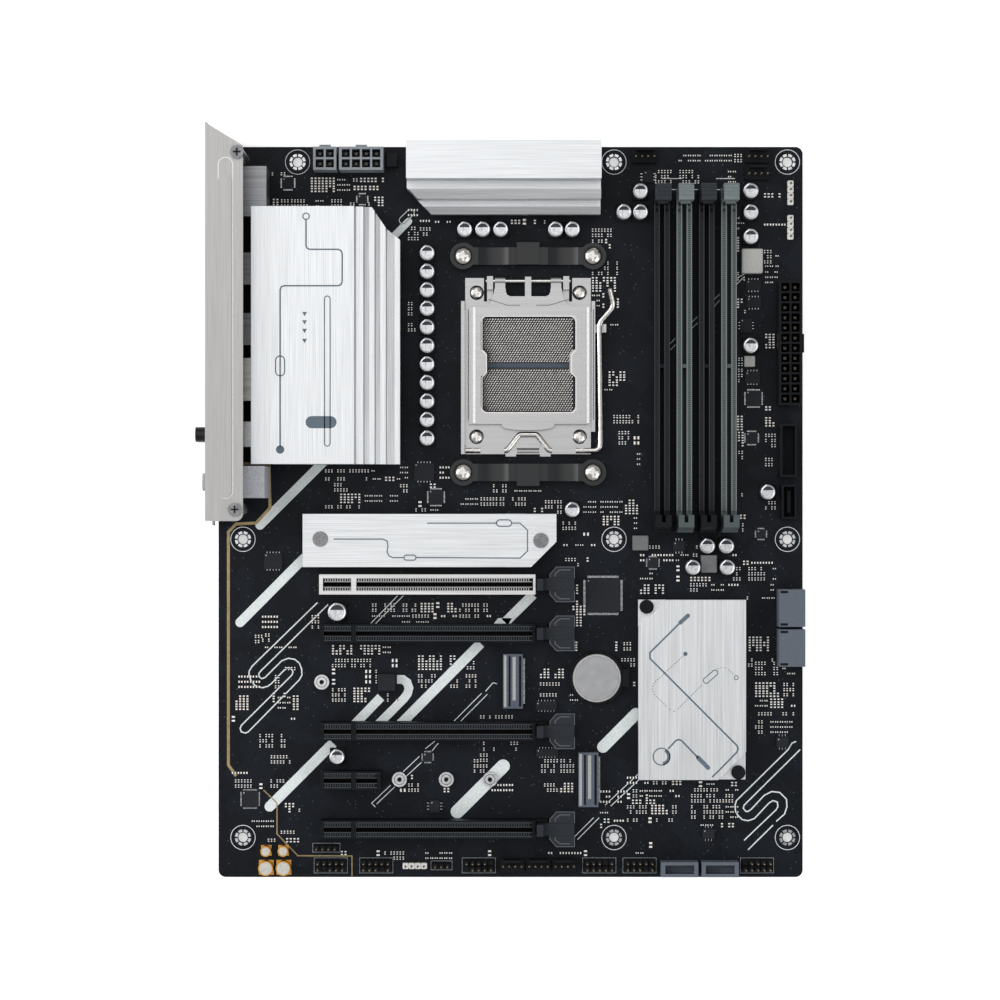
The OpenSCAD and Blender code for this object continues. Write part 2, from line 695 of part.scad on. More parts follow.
module socket_backplate() color("#3a3c40") on_board() at_socket() translate([0, 0, -board_t - under_board])
    difference() {
        linear_extrude(under_board) difference() {
            centred_round_rect(cooler_dx + 12, cooler_dy + 12, 6);
            for (side = [-1, 1]) translate([side * (cooler_dx / 2 + 8), 0]) centred_round_rect(12, 44, 3);
            centred_round_rect(22, 18, 3);
        }
        for (p = cooler_points) at(p) rod(cooler_screw_d / 2, -1, under_board + 1);
        for (p = socket_screw_points) at(p) rod(socket_screw_r, -1, under_board + 1);
    }

scoop_x = 14.5;
scoop_r = 14.8;
scoop_depth = 1.4;

module cooler_brackets() color("#26282c") on_board() at_socket() for (side = [0, 1]) mirror([0, side, 0])
    translate([0, cooler_dy / 2, 0]) difference() {
        union() {
            block(-cooler_dx / 2, -bracket_half_w, 0, cooler_dx, 2 * bracket_half_w, bracket_h);
            for (x = [-1, 1]) translate([x * cooler_dx / 2, 0, 0]) rod(bracket_boss_r, 0, bracket_h);
            // Hook in the middle for a cooler's clip
            block(-4.7, -bracket_half_w, bracket_h, 9.4, 2 * bracket_half_w + 2, 1.4);
            block(-4.7, bracket_half_w, 3.6, 9.4, 2, bracket_h - 3.6);
        }
        // Hollowed top between the hook and each screw
        for (x = [-1, 1]) translate([x * scoop_x, 0, bracket_h + scoop_r - scoop_depth]) y_rod(scoop_r, -10, 10);
        for (x = [-1, 1]) translate([x * cooler_dx / 2, 0, 0]) {
            rod(cooler_screw_d / 2 + 0.15, -1, bracket_h);
            rod(4.1, bracket_h - screw_seat, bracket_h + 1);
        }
    }

module cooler_screws() color("#d4d4d5") on_board() at_socket() for (p = cooler_points) at(p) {
    screw_head(3.65, bracket_h - screw_seat, 2.4);
    rod(cooler_screw_d / 2, -board_t - under_board, bracket_h - screw_seat);
}

// ---------- memory slots ----------

function dimm_x(i) = dimm_x0 + i * dimm_pitch;

module dimm_slots() color("#1c1e21") on_board() for (i = [0:dimm_count - 1]) translate([dimm_x(i), 0, 0]) {
    half = dimm_w / 2;
    key_y = 213;
    difference() {
        union() {
            block(-half, dimm_low_y, 0, dimm_w, dimm_high_y - dimm_low_y, dimm_h);
            // Fixed tower at the lower end, its outer edge sloped
            translate([0, dimm_low_y, 0]) along_x(-half, half) polygon([
                [0, 0], [0, dimm_tower_h], [2.2 - dimm_tower_l, dimm_tower_h],
                [0.8 - dimm_tower_l, dimm_tower_h - 9], [-dimm_tower_l, dimm_tower_h - 9], [-dimm_tower_l, 0]]);
            for (side = [0, 1]) mirror([side, 0, 0])
                block(half - cheek_t, dimm_high_y, 0, cheek_t, dimm_foot_l, dimm_h - 1);
            block(-half, dimm_high_y, 0, dimm_w, dimm_foot_l, 0.8);
        }
        // Groove for the card's edge, parted by the key
        block(-card_gap / 2, card_low_y, 3, card_gap, key_y - 0.75 - card_low_y, dimm_tower_h);
        block(-card_gap / 2, key_y + 0.75, 3, card_gap, dimm_high_y, dimm_h);
        // Shallow troughs either side of the groove
        for (side = [-1, 1]) block(side * 2.1 - 0.45, dimm_low_y + 1, dimm_h - 0.8, 0.9, 126, 2);
        translate([0, latch_pivot_y, latch_pivot_z])
            x_rod(latch_pin_r + running_gap, -half + 0.2, half - 0.2);
    }
}

// Latch at the top end of a memory slot: a forked foot on its pins, an arm and a ribbed thumb piece
module dimm_latch(i) on_board() translate([dimm_x(i), latch_pivot_y, latch_pivot_z]) {
    half = dimm_w / 2 - cheek_t - cheek_gap;
    rib = 0.5;
    along_x(-half, half) polygon([
        [-3.9, -1.8], [-1.2, -2.2], [1.2, -2.2], [2.2, -1], [2.2, 1.2], [1.7, 3], [1.9, 14.5],
        [-1.8, 14.5], [-1.8, 1.6], [-3.9, -0.4]]);
    // Nose that locks in the card's notch
    block(-half, -4.3, 12.3, 2 * half, 3.2, 2.2);
    // Stepped thumb piece
    along_x(-dimm_w / 2 + 0.1, dimm_w / 2 - 0.1) polygon([
        [-3.6, 14.5], [2.4, 14.5], for (k = [0:8]) each [[3.2, 15 + k], [3.2 - rib, 15.5 + k]],
        [2.6, 23.4], for (k = [0:3]) each [[2.4 - 1.5 * k, 23.8], [1.6 - 1.5 * k, 23.4]], [-3.6, 23.4]]);
    x_rod(latch_pin_r, -half - 0.6, half + 0.6);
}

module dimm_latch_1() color("#222427") dimm_latch(0);
module dimm_latch_2() color("#6a7173") dimm_latch(1);
module dimm_latch_3() color("#222427") dimm_latch(2);
module dimm_latch_4() color("#6a7173") dimm_latch(3);

// ---------- card slots ----------

function card_y(row) = card_y0 - row * card_pitch;

module card_slot(l) difference() {
    block(0, -card_slot_w / 2, 0, l, card_slot_w, card_slot_h);
    block(1.5, -card_gap / 2 - 0.1, 2.4, key_x - 1.5, card_gap + 0.2, card_slot_h);
    block(key_x + key_w, -card_gap / 2 - 0.1, 2.4, l - 1.3 - key_x - key_w, card_gap + 0.2, card_slot_h);
    // Shallow troughs either side of the groove, over the contact cells
    for (y = [-card_trough_y - card_trough_w, card_trough_y], part = [[1.5, key_x], [key_x + key_w, l - 1.3]])
        block(part[0], y, card_slot_h - 0.7, part[1] - part[0], card_trough_w, 1);
}

module pcie_slots() color("#1b1d20") on_board() {
    for (row = long_rows) translate([card_x0, card_y(row), 0]) {
        card_slot(card_slot_l);
        // Cheeks that carry the clip's pins
        for (side = [0, 1]) mirror([0, side, 0]) difference() {
            block(card_slot_l, card_slot_w / 2 - 1.2, 0, 5, 1.2, 6.4);
            translate([clip_pivot_x - card_x0, 0, clip_pivot_z])
                y_rod(latch_pin_r + running_gap, 0, card_slot_w / 2 - 0.3);
        }
    }
    translate([card_x0, card_y(short_row), 0]) card_slot(short_slot_l);
}

// Bright sheet wrapped over the first slot
module pcie_slot_armour() color("#a9abae") on_board() translate([card_x0, card_y(0), 0]) {
    wrap_t = 0.4;
    difference() {
        block(-wrap_t, -card_slot_w / 2 - wrap_t, 0.4, card_slot_l + wrap_t, card_slot_w + 2 * wrap_t,
            card_slot_h);
        block(0, -card_slot_w / 2, -1, card_slot_l + 1, card_slot_w, card_slot_h + 1);
        for (part = [[1.2, key_x - 0.1], [key_x + key_w + 0.1, card_slot_l - 1]])
            block(part[0], -2.65, 0, part[1] - part[0], 5.3, card_slot_h + 2);
    }
}

// Clip at the slot's far end: a hook over the card's notch and a split paddle for the finger
module pcie_clip(row) on_board() translate([clip_pivot_x, card_y(row), clip_pivot_z]) {
    half = card_slot_w / 2 - 1.2 - cheek_gap;
    along_y(-half, half) polygon([
        [-2, -1.6], [-0.8, -2.2], [1.2, -2.2], [2, -1.2], [3, 4.2], [13.6, 4.6], [13.6, 6.4], [2, 7],
        [0.6, 11.6], [-2.1, 12.4], [-2.1, 10.2], [-0.8, 9.4], [-0.8, 5], [-2, 4]]);
    // Finger wings with their near corners cut off
    for (side = [0, 1]) mirror([0, side, 0]) translate([0, 0, 4.6]) linear_extrude(1.6)
        polygon([[3.2, half], [3.2, 4.2], [6, 7.4], [13.8, 7.4], [13.8, half]]);
    y_rod(latch_pin_r, -half - 0.6, half + 0.6);
}

module pcie_clip_1() color("#232528") pcie_clip(long_rows[0]);
module pcie_clip_2() color("#232528") pcie_clip(long_rows[1]);
module pcie_clip_3() color("#232528") pcie_clip(long_rows[2]);
module pcie_clip_4() color("#232528") pcie_clip(long_rows[3]);

m2_socket_points = [[124, 140.6], [122.9, 81.9], [154.3, 40.9]];

module m2_sockets() color("#1a1b1e") on_board() for (p = m2_socket_points) at(p) difference() {
    pad([0, 0], 8.3, 22.7, m2_socket_h);
    block(-5, -9.9, 1.7, 6, 19.8, 1);
}

// ---------- small parts ----------

cap_column_x = 87.2;
cap_points = [
    for (i = [0:10]) [cap_column_x, 183.1 + 7.7 * i],
    for (x = [102.8, 110.3, 117.8, 140.6, 147.6]) [x, vrm_top_y - 5.7],
    [175.9, 285.7], [169, 277.1], [175.9, 277.1],
    for (y = [285.9, 277, 266.9, 221.6]) [board_w - 22.1, y],
    [board_w - 15, 160.7], [203.7, 138.3], [211.6, 138.3], [197.7, 129.4], [212, 129.4],
    [147.6, 153.4], [49.8, 50.7]];

module capacitor(r, h) {
    rod(r, 0.6, h);
    pad([0, 0], 2 * r, 2 * r, 0.6);
}

module polymer_capacitors() color("#c9cacc") on_board() {
    for (p = cap_points) at(p) capacitor(cap_d / 2, cap_h);
    at([49.8, 110.8]) capacitor(3.9, cap_h);
}

module audio_capacitors() color("#c8a24f") on_board() {
    for (p = [[20, 11.2], [27.2, 11.2]]) at(p) capacitor(2.2, 5.4);
    for (p = [[20, 4.1], [27.3, 4.1]]) at(p) capacitor(3.1, 5.4);
}

// Shielded coils: x, y, width, length, height
coils = [
    [board_w - 21.4, 256.8, 8.8, 10.3, 6], [board_w - 22.3, 215.2, 4.5, 4.5, 3], [204.5, 130.8, 6.7, 7.3, 5],
    [176, 139.5, 6.6, 6.2, 5], [70.3, 81.4, 7.3, 7.3, 4], [72.4, 298.9, 4.6, 5.4, 3]];

module power_inductors() color("#6a6d71") on_board() for (c = coils) difference() {
    pad(c, c[2], c[3], c[4]);
    at(c) rod(min(c[2], c[3]) * 0.32, c[4] - 0.4, c[4] + 1);
}

// Chip packages: x, y, width, length, height
chips = [
    [package_centre.x, package_centre.y, package_s, package_s, package_h],
    [160.5, 117.6, 14, 14, 1.4], [13.2, 32.6, 7, 7, 1], [85.8, 169.1, 8.4, 7.5, 1],
    [90.8, 158.6, 6.3, 6.4, 0.9], [22.8, 131.9, 7.5, 6.7, 0.9], [board_w - 20.6, 247.1, 6.1, 4.5, 1],
    [board_w - 20.4, 239.8, 6.1, 4.5, 1], [board_w - 23.6, 230.2, 5.1, 5.9, 1],
    [board_w - 21, 208.6, 6.2, 5.1, 1], [board_w - 20.5, 199.8, 6.6, 6.6, 1],
    [board_w - 21.3, 183.3, 5, 5, 0.9], [board_w - 17.4, 143.2, 4, 4, 0.9], [181.3, 131.2, 4.6, 4.6, 0.9],
    [192.2, 138.2, 5, 4, 1.5], [board_w - 8.5, 56.4, 5, 4, 1.5], [204.5, 18.2, 5, 4, 1.5],
    [90.2, 29.6, 4, 5, 1.5], [87.3, 50.1, 4, 4, 0.9], [137.2, 52, 9.2, 3.3, 1.1],
    [136.8, 71.5, 8.8, 3.8, 1.1], [29, 289.7, 5, 5, 0.9], [60, 283, 4, 4, 0.9], [179.3, 292.3, 4, 5, 1.5]];

module integrated_circuits() color("#15161a") on_board() for (c = chips) pad(c, c[2], c[3], c[4]);

module battery_holder() color("#17181a") on_board() at(cell_centre) {
    r = cell_d / 2 + 0.3;
    rod(r + 0.9, 0, cell_seat);
    // Low wall, broken where the cell is pried out
    difference() {
        rod(r + 0.9, cell_seat, cell_seat + cell_t - 0.6);
        rod(r, cell_seat - 1, cell_seat + cell_t);
        block(-5, -cell_d, cell_seat - 1, 10, cell_d, cell_t + 2);
        block(-3.6, 0, cell_seat - 1, 7.2, cell_d, cell_t + 2);
    }
    // Contact finger's housing beside the cell
    block(r + 0.6, -3.6, 0, 2.6, 7.2, cell_seat + cell_t);
}

module coin_cell() color("#d6d7d9") on_board() at(cell_centre) {
    rod(cell_d / 2, cell_seat, cell_seat + cell_t - 0.4);
    rod(cell_d / 2 - 1, cell_seat + cell_t - 0.4, cell_seat + cell_t);
}

// ---------- power sockets ----------

// A socket of square cells, nx by ny, drawn from its lower left corner
module power_socket(w, l, h, nx, ny) difference() {
    block(0, 0, 0, w, l, h);
    for (i = [0:nx - 1], j = [0:ny - 1]) translate([cell_x(w, nx, i), cell_x(l, ny, j), 2])
        translate([-socket_cell / 2, -socket_cell / 2, 0]) cube([socket_cell, socket_cell, h]);
}

function cell_x(w, n, i) = w / 2 + (i - (n - 1) / 2) * cell_pitch;

module socket_pins(w, l, h, nx, ny) for (i = [0:nx - 1], j = [0:ny - 1])
    translate([cell_x(w, nx, i) - terminal_w / 2, cell_x(l, ny, j) - terminal_w / 2, 2])
        cube([terminal_w, terminal_w, h - 5]);

atx_place = [atx_x, atx_y, 0];
atx_size = [9.6, 51.4, atx_h];
cpu_power_places = [[50.9, board_l - 10.8, 0], [40.2, board_l - 10.8, 0]];
cpu_power_sizes = [[18.2, 9.6, atx_h], [9.6, 9.6, atx_h]];
cpu_power_columns = [4, 2];

module atx_power_socket() color("#1d1f22") on_board() translate(atx_place) {
    power_socket(atx_size.x, atx_size.y, atx_size.z, 2, 12);
    // Latch rail on the front side
    block(atx_size.x, atx_size.y / 2 - 3.8, 2, 1, 7.6, atx_h - 4);
}

module cpu_power_sockets() color("#6f7680") on_board() for (k = [0, 1]) translate(cpu_power_places[k]) {
    s = cpu_power_sizes[k];
    power_socket(s.x, s.y, s.z, cpu_power_columns[k], 2);
    block(s.x / 2 - 2.3, s.y, 2, 4.6, 1, atx_h - 4);
}

module power_pins() color("#b9a46a") on_board() {
    translate(atx_place) socket_pins(atx_size.x, atx_size.y, atx_size.z, 2, 12);
    for (k = [0, 1]) translate(cpu_power_places[k])
        socket_pins(cpu_power_sizes[k].x, cpu_power_sizes[k].y, cpu_power_sizes[k].z, cpu_power_columns[k], 2);
}

// ---------- headers ----------

// Fan headers: x, y of the base's lower left corner; the guide wall is on the high y side
fan_points = [
    [board_w - 24.1, board_l - 6.8], [board_w - 24.1, board_l - 13.9], [172.7, board_l - 6.8],
    for (i = [0:2]) [117.5 + 10.9 * i, 2.2]];

module fan_headers() color("#1c1d20") on_board() for (p = fan_points) at(p) {
    block(0, 0, 0, 10.2, 5.6, 2.8);
    block(1.6, 4.6, 2.8, 7, 1, 5.6);
}

// Low bases of the pin headers: x, y, width, length
pin_bases = [
    [40.5, 2.3, 12.7, 5.1], [59.5, 2.3, 12.7, 5.1], [76.9, 3.6, 10.2, 2.5], [89.3, 3.6, 7.6, 2.5],
    [102.3, 2.3, 12.7, 5.1], [152.6, 2.3, 12.7, 5.1], [169.4, 2.3, 12.7, 5.1], [board_w - 25.4, 2.3, 12.7, 5.1],
    [39.9, 11, 10.2, 2.5], [board_w - 6.5, board_l - 24.4, 2.5, 10.2], [board_w - 6.5, board_l - 38.8, 2.5, 10.2]];

module pin_headers() color("#1a1b1d") on_board() for (b = pin_bases) block(b[0], b[1], 0, b[2], b[3], 2.5);

module front_usb_headers() color("#202226") on_board() {
    // Box header for the front ports, with its plug's space around the pins
    translate([board_w - 10.1, 166.9, 0]) difference() {
        block(0, 0, 0, 7.1, 22.2, 9);
        block(1, 1, 2, 5.1, 20.2, 9);
    }
    // Upright shielded socket with its contact tongue
    translate([board_w - 9.5, 149.6, 0]) {
        difference() {
            block(0, 0, 0, 6.1, 14.1, 10);
            block(0.8, 0.8, 2, 4.5, 12.5, 9);
        }
        block(2.3, 2.5, 1, 1.5, 9.1, 7);
    }
}

module sata_ports() color("#2a3038") on_board() {
    // Pair of blocks facing the front edge, two ports high
    for (y = [88.4, 104.9]) difference() {
        block(board_w - 10.8, y, 0, 10.8, 15.4, 13);
        for (z = [2, 7.6]) block(board_w - 6, y + 1.7, z, 7, 12, 3.6);
    }
    // Upright pair at the lower edge
    for (x = [184.4, 201.2]) difference() {
        block(x, 0.9, 0, 15.4, 6.2, 9);
        block(x + 1.7, 2.2, 3, 12, 3.6, 7);
    }
}

// ---------- solder side ----------

tail_r = 0.55;

module tail_row(x0, y0, dx, dy, n) for (i = [0:n - 1])
    translate([x0 + i * dx, y0 + i * dy, 0]) rod(tail_r, -board_t - under_board, -board_t);

module solder_tails() color("#c5c6c8") on_board() {
    for (i = [0:dimm_count - 1], y = [148, 286]) at([dimm_x(i), y]) rod(tail_r, -board_t - under_board, -board_t);
    for (row = long_rows) tail_row(card_x0 + 13, card_y(row), card_slot_l - 16, 0, 2);
    tail_row(atx_x + 2.7, atx_y + 2.6, 0, 2 * cell_pitch, 6);
    tail_row(cpu_power_places[0].x + 3, board_l - 6, cell_pitch, 0, 4);
    tail_row(board_w - 20, 5, 3.4, 0, 5);
    tail_row(45, 5, 12, 0, 3);
    tail_row(board_w - 6, 92, 0, 8, 4);
    tail_row(3, display_y + 3, 0, 14, 2);
    tail_row(16, display_y + 3, 0, 14, 2);
    tail_row(3, audio_y + 2, 0, 9, 2);
    tail_row(16, audio_y + 2, 0, 9, 2);
    tail_row(16, lan_y + 3, 0, 11, 2);
}

pcb();
io_shield();
io_cover();
display_port_stack();
usb_port_stacks();
lan_usb_stack();
wifi_module();
antenna_jacks();
audio_jacks();
rear_button();
rear_button_switch();
port_tongues();
vrm_heatsink_left();
vrm_heatsink_top();
m3_screws();
thermal_pads();
vrm_chokes();
vrm_power_stages();
polymer_capacitors();
audio_capacitors();
power_inductors();
cpu_socket_body();
cpu_contacts();
socket_frame();
load_plate();
load_lever();
hinge_wire();
socket_screws();
socket_backplate();
cooler_brackets();
cooler_screws();
dimm_slots();
dimm_latch_1();
dimm_latch_2();
dimm_latch_3();
dimm_latch_4();
pcie_slots();
pcie_slot_armour();
pcie_clip_1();
pcie_clip_2();
pcie_clip_3();
pcie_clip_4();
m2_sockets();
m2_heatsink();
m2_heatsink_screws();
m2_thermal_pad();
threaded_standoffs();
chipset_heatsink();
chipset_push_pins();
integrated_circuits();
atx_power_socket();
cpu_power_sockets();
power_pins();
fan_headers();
pin_headers();
front_usb_headers();
sata_ports();
coin_cell();
battery_holder();
solder_tails();
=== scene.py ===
"""Looks for a full-size desktop motherboard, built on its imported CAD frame.

Small helpers take places in millimetres from the board's lower left corner and heights above its top face.
Meshes come out in metres in the frame's own axes."""
import math
import random

import bmesh
import bpy
from mathutils import Matrix, Vector
from mathutils.bvhtree import BVHTree


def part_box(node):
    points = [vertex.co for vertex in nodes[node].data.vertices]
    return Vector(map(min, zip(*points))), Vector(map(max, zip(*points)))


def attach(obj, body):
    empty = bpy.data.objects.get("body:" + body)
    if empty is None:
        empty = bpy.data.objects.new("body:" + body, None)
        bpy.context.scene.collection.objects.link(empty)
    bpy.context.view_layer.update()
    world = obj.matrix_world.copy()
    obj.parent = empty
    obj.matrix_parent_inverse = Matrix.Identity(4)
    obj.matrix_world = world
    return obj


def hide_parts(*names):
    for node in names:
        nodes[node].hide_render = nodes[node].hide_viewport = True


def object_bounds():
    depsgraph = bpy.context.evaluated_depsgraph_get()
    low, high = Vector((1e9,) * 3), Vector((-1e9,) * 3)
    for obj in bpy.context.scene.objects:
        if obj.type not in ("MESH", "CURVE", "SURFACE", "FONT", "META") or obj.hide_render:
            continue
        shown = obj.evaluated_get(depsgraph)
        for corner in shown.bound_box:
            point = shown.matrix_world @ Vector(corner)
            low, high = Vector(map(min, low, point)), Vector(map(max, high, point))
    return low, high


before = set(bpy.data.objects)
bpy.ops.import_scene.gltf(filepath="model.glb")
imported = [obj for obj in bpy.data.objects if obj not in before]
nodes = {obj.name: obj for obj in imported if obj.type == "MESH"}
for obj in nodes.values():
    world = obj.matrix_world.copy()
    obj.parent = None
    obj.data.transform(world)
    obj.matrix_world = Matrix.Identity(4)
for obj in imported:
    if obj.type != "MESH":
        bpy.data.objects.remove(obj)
cad_low, cad_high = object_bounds()

# ---------- board ----------
# Glass-fibre laminate with copper inside and a dark satin solder mask, drilled and routed.
# Tracks and vias show through the mask as a faint relief in slanted runs.

MM = 0.001
board_low, board_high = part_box("pcb")
board_w = (board_high.x - board_low.x) / MM
board_l = (board_high.y - board_low.y) / MM
board_t = (board_high.z - board_low.z) / MM


def on_board(x, y, z=0.0):
    """A point of the frame, from millimetres along the board and above its top face."""
    return Vector((board_low.x + x * MM, board_low.y + y * MM, board_high.z + z * MM))


def tone(red, green, blue):
    """A colour given as 0 to 255 screen values, as the linear colour that a shader takes."""
    channels = [c / 255 for c in (red, green, blue)]
    return [c / 12.92 if c <= 0.04045 else ((c + 0.055) / 1.055) ** 2.4 for c in channels] + [1.0]


def start_group(name, inputs, outputs):
    """An empty node group with its sockets: name to (kind, default) for inputs, name to kind for outputs."""
    group = bpy.data.node_groups.new(name, "ShaderNodeTree")
    for label, (kind, default) in inputs.items():
        socket = group.interface.new_socket(label, in_out="INPUT", socket_type=kind)
        socket.default_value = default
    for label, kind in outputs.items():
        group.interface.new_socket(label, in_out="OUTPUT", socket_type=kind)
    return group, group.nodes.new("NodeGroupInput"), group.nodes.new("NodeGroupOutput")


def add_surface_noise(group, coordinates, scale_from, given):
    """Noise on given coordinates, and the link for its scale."""
    noise = group.nodes.new("ShaderNodeTexNoise")
    noise.inputs["Detail"].default_value = 4.0
    group.links.new(coordinates, noise.inputs["Vector"])
    group.links.new(given.outputs[scale_from], noise.inputs["Scale"])
    return noise


def finish_group(group, noise, given, result):
    """Turns noise into a tinted colour, a roughness and a bumped normal, and sends them out of the group."""
    spread = group.nodes.new("ShaderNodeMapRange")
    spread.inputs["From Min"].default_value = 0.3
    spread.inputs["From Max"].default_value = 0.7
    group.links.new(noise.outputs["Fac"], spread.inputs["Value"])
    tint = group.nodes.new("ShaderNodeMix")
    tint.data_type = "RGBA"
    group.links.new(spread.outputs["Result"], tint.inputs["Factor"])
    group.links.new(given.outputs["Dark"], tint.inputs["A"])
    group.links.new(given.outputs["Light"], tint.inputs["B"])
    gloss = group.nodes.new("ShaderNodeMapRange")
    group.links.new(noise.outputs["Fac"], gloss.inputs["Value"])
    group.links.new(given.outputs["Smoothest"], gloss.inputs["To Min"])
    group.links.new(given.outputs["Roughest"], gloss.inputs["To Max"])
    bump = group.nodes.new("ShaderNodeBump")
    bump.inputs["Distance"].default_value = 0.0001
    group.links.new(given.outputs["Relief"], bump.inputs["Strength"])
    group.links.new(noise.outputs["Fac"], bump.inputs["Height"])
    group.links.new(tint.outputs["Result"], result.inputs["Colour"])
    group.links.new(gloss.outputs["Result"], result.inputs["Roughness"])
    group.links.new(bump.outputs["Normal"], result.inputs["Normal"])


SURFACE_OUT = {"Colour": "NodeSocketColor", "Roughness": "NodeSocketFloat", "Normal": "NodeSocketVector"}
SURFACE_IN = {
    "Dark": ("NodeSocketColor", (0.1, 0.1, 0.1, 1)), "Light": ("NodeSocketColor", (0.2, 0.2, 0.2, 1)),
    "Scale": ("NodeSocketFloat", 1.0), "Smoothest": ("NodeSocketFloat", 0.3),
    "Roughest": ("NodeSocketFloat", 0.6), "Relief": ("NodeSocketFloat", 0.1)}

# Fine even grain, as on moulded plastic, mask and cast epoxy
grain_group, grain_in, grain_out = start_group("fine_grain", SURFACE_IN, SURFACE_OUT)
grain_place = grain_group.nodes.new("ShaderNodeTexCoord")
grain_noise = add_surface_noise(grain_group, grain_place.outputs["Object"], "Scale", grain_in)
finish_group(grain_group, grain_noise, grain_in, grain_out)

# Long straight grain, as on brushed or rolled metal; Stretch is the grain's fineness along each axis
brush_group, brush_in, brush_out = start_group(
    "brushed_grain", {**SURFACE_IN, "Stretch": ("NodeSocketVector", (1, 1, 1))}, SURFACE_OUT)
brush_place = brush_group.nodes.new("ShaderNodeTexCoord")
brush_stretch = brush_group.nodes.new("ShaderNodeVectorMath")
brush_stretch.operation = "MULTIPLY"
brush_group.links.new(brush_place.outputs["Object"], brush_stretch.inputs[0])
brush_group.links.new(brush_in.outputs["Stretch"], brush_stretch.inputs[1])
brush_noise = add_surface_noise(brush_group, brush_stretch.outputs["Vector"], "Scale", brush_in)
finish_group(brush_group, brush_noise, brush_in, brush_out)


def make_material(name, group, dark, light, scale, smoothest, roughest, relief, metallic=0.0, stretch=None):
    """A material whose colour, roughness and relief come from one of the grain groups."""
    material = bpy.data.materials.new(name)
    material.use_nodes = True
    tree = material.node_tree
    shader = tree.nodes["Principled BSDF"]
    shader.inputs["Metallic"].default_value = metallic
    shader.inputs["Specular IOR Level"].default_value = 0.5 if metallic else 0.1
    surface = tree.nodes.new("ShaderNodeGroup")
    surface.node_tree = group
    values = {"Dark": tone(*dark), "Light": tone(*light), "Scale": scale, "Smoothest": smoothest,
              "Roughest": roughest, "Relief": relief}
    if stretch:
        values["Stretch"] = stretch
    for label, value in values.items():
        surface.inputs[label].default_value = value
    tree.links.new(surface.outputs["Colour"], shader.inputs["Base Color"])
    tree.links.new(surface.outputs["Roughness"], shader.inputs["Roughness"])
    tree.links.new(surface.outputs["Normal"], shader.inputs["Normal"])
    return material


def coat_node(name, material):
    """Gives a CAD node its finish."""
    nodes[name].data.materials.clear()
    nodes[name].data.materials.append(material)


solder_mask = make_material("solder_mask", grain_group, (11, 14, 19), (17, 21, 27), 900, 0.34, 0.5, 0.12)

# Copper tracks under the mask: slanted runs of fine lines, broken up into bundles
track_tree = solder_mask.node_tree
track_place = track_tree.nodes.new("ShaderNodeTexCoord")
track_turn = track_tree.nodes.new("ShaderNodeMapping")
track_turn.inputs["Rotation"].default_value = (0, 0, math.radians(45))
track_tree.links.new(track_place.outputs["Object"], track_turn.inputs["Vector"])
track_lines = track_tree.nodes.new("ShaderNodeTexWave")
track_lines.wave_profile = "SIN"
track_lines.inputs["Scale"].default_value = 320
track_tree.links.new(track_turn.outputs["Vector"], track_lines.inputs["Vector"])
track_cells = track_tree.nodes.new("ShaderNodeTexVoronoi")
track_cells.distance = "CHEBYCHEV"
track_cells.inputs["Scale"].default_value = 95
track_tree.links.new(track_turn.outputs["Vector"], track_cells.inputs["Vector"])
track_bundle = track_tree.nodes.new("ShaderNodeMath")
track_bundle.operation = "GREATER_THAN"
track_bundle.inputs[1].default_value = 0.55
track_split = track_tree.nodes.new("ShaderNodeSeparateColor")
track_tree.links.new(track_cells.outputs["Color"], track_split.inputs["Color"])
track_tree.links.new(track_split.outputs["Red"], track_bundle.inputs[0])
track_mask = track_tree.nodes.new("ShaderNodeMath")
track_mask.operation = "MULTIPLY"
track_tree.links.new(track_lines.outputs["Fac"], track_mask.inputs[0])
track_tree.links.new(track_bundle.outputs["Value"], track_mask.inputs[1])
track_tint = track_tree.nodes.new("ShaderNodeMix")
track_tint.data_type = "RGBA"
track_tint.blend_type = "ADD"
track_tint.inputs["B"].default_value = tone(24, 29, 37)
track_amount = track_tree.nodes.new("ShaderNodeMath")
track_amount.operation = "MULTIPLY"
track_amount.inputs[1].default_value = 0.35
track_tree.links.new(track_mask.outputs["Value"], track_amount.inputs[0])
track_tree.links.new(track_amount.outputs["Value"], track_tint.inputs["Factor"])
mask_surface = next(n for n in track_tree.nodes if n.type == "GROUP")
mask_shader = track_tree.nodes["Principled BSDF"]
track_tree.links.new(mask_surface.outputs["Colour"], track_tint.inputs["A"])
track_tree.links.new(track_tint.outputs["Result"], mask_shader.inputs["Base Color"])
coat_node("pcb", solder_mask)

# ---------- printed lines and land rings on the board ----------
# White ink printed on the mask, and tinned lands around the mounting holes.
# Both are thin raised layers, so each is a shallow closed solid.

white_ink = make_material("white_ink", grain_group, (196, 200, 204), (226, 228, 230), 1500, 0.5, 0.65, 0.1)
grey_ink = make_material("grey_ink", grain_group, (138, 143, 149), (172, 176, 181), 1500, 0.5, 0.65, 0.1)
bright_tin = make_material(
    "bright_tin", grain_group, (168, 170, 172), (206, 207, 208), 700, 0.18, 0.34, 0.15, 1.0)
gold_plate = make_material(
    "gold_plate", grain_group, (178, 143, 84), (214, 182, 120), 900, 0.2, 0.36, 0.1, 1.0)
ink_t = 0.04
copper_t = 0.06


def deselect():
    """Object mode, with nothing selected."""
    if bpy.context.mode != "OBJECT":
        bpy.ops.object.mode_set(mode="OBJECT")
    bpy.ops.object.select_all(action="DESELECT")


def settle(piece, name, material, body="board"):
    """Names a finished piece, gives it its material and slot, and fixes it to its body."""
    piece.name = name
    piece.data.name = name
    if material:
        piece.data.materials.clear()
        piece.data.materials.append(material)
    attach(piece, body)
    return piece


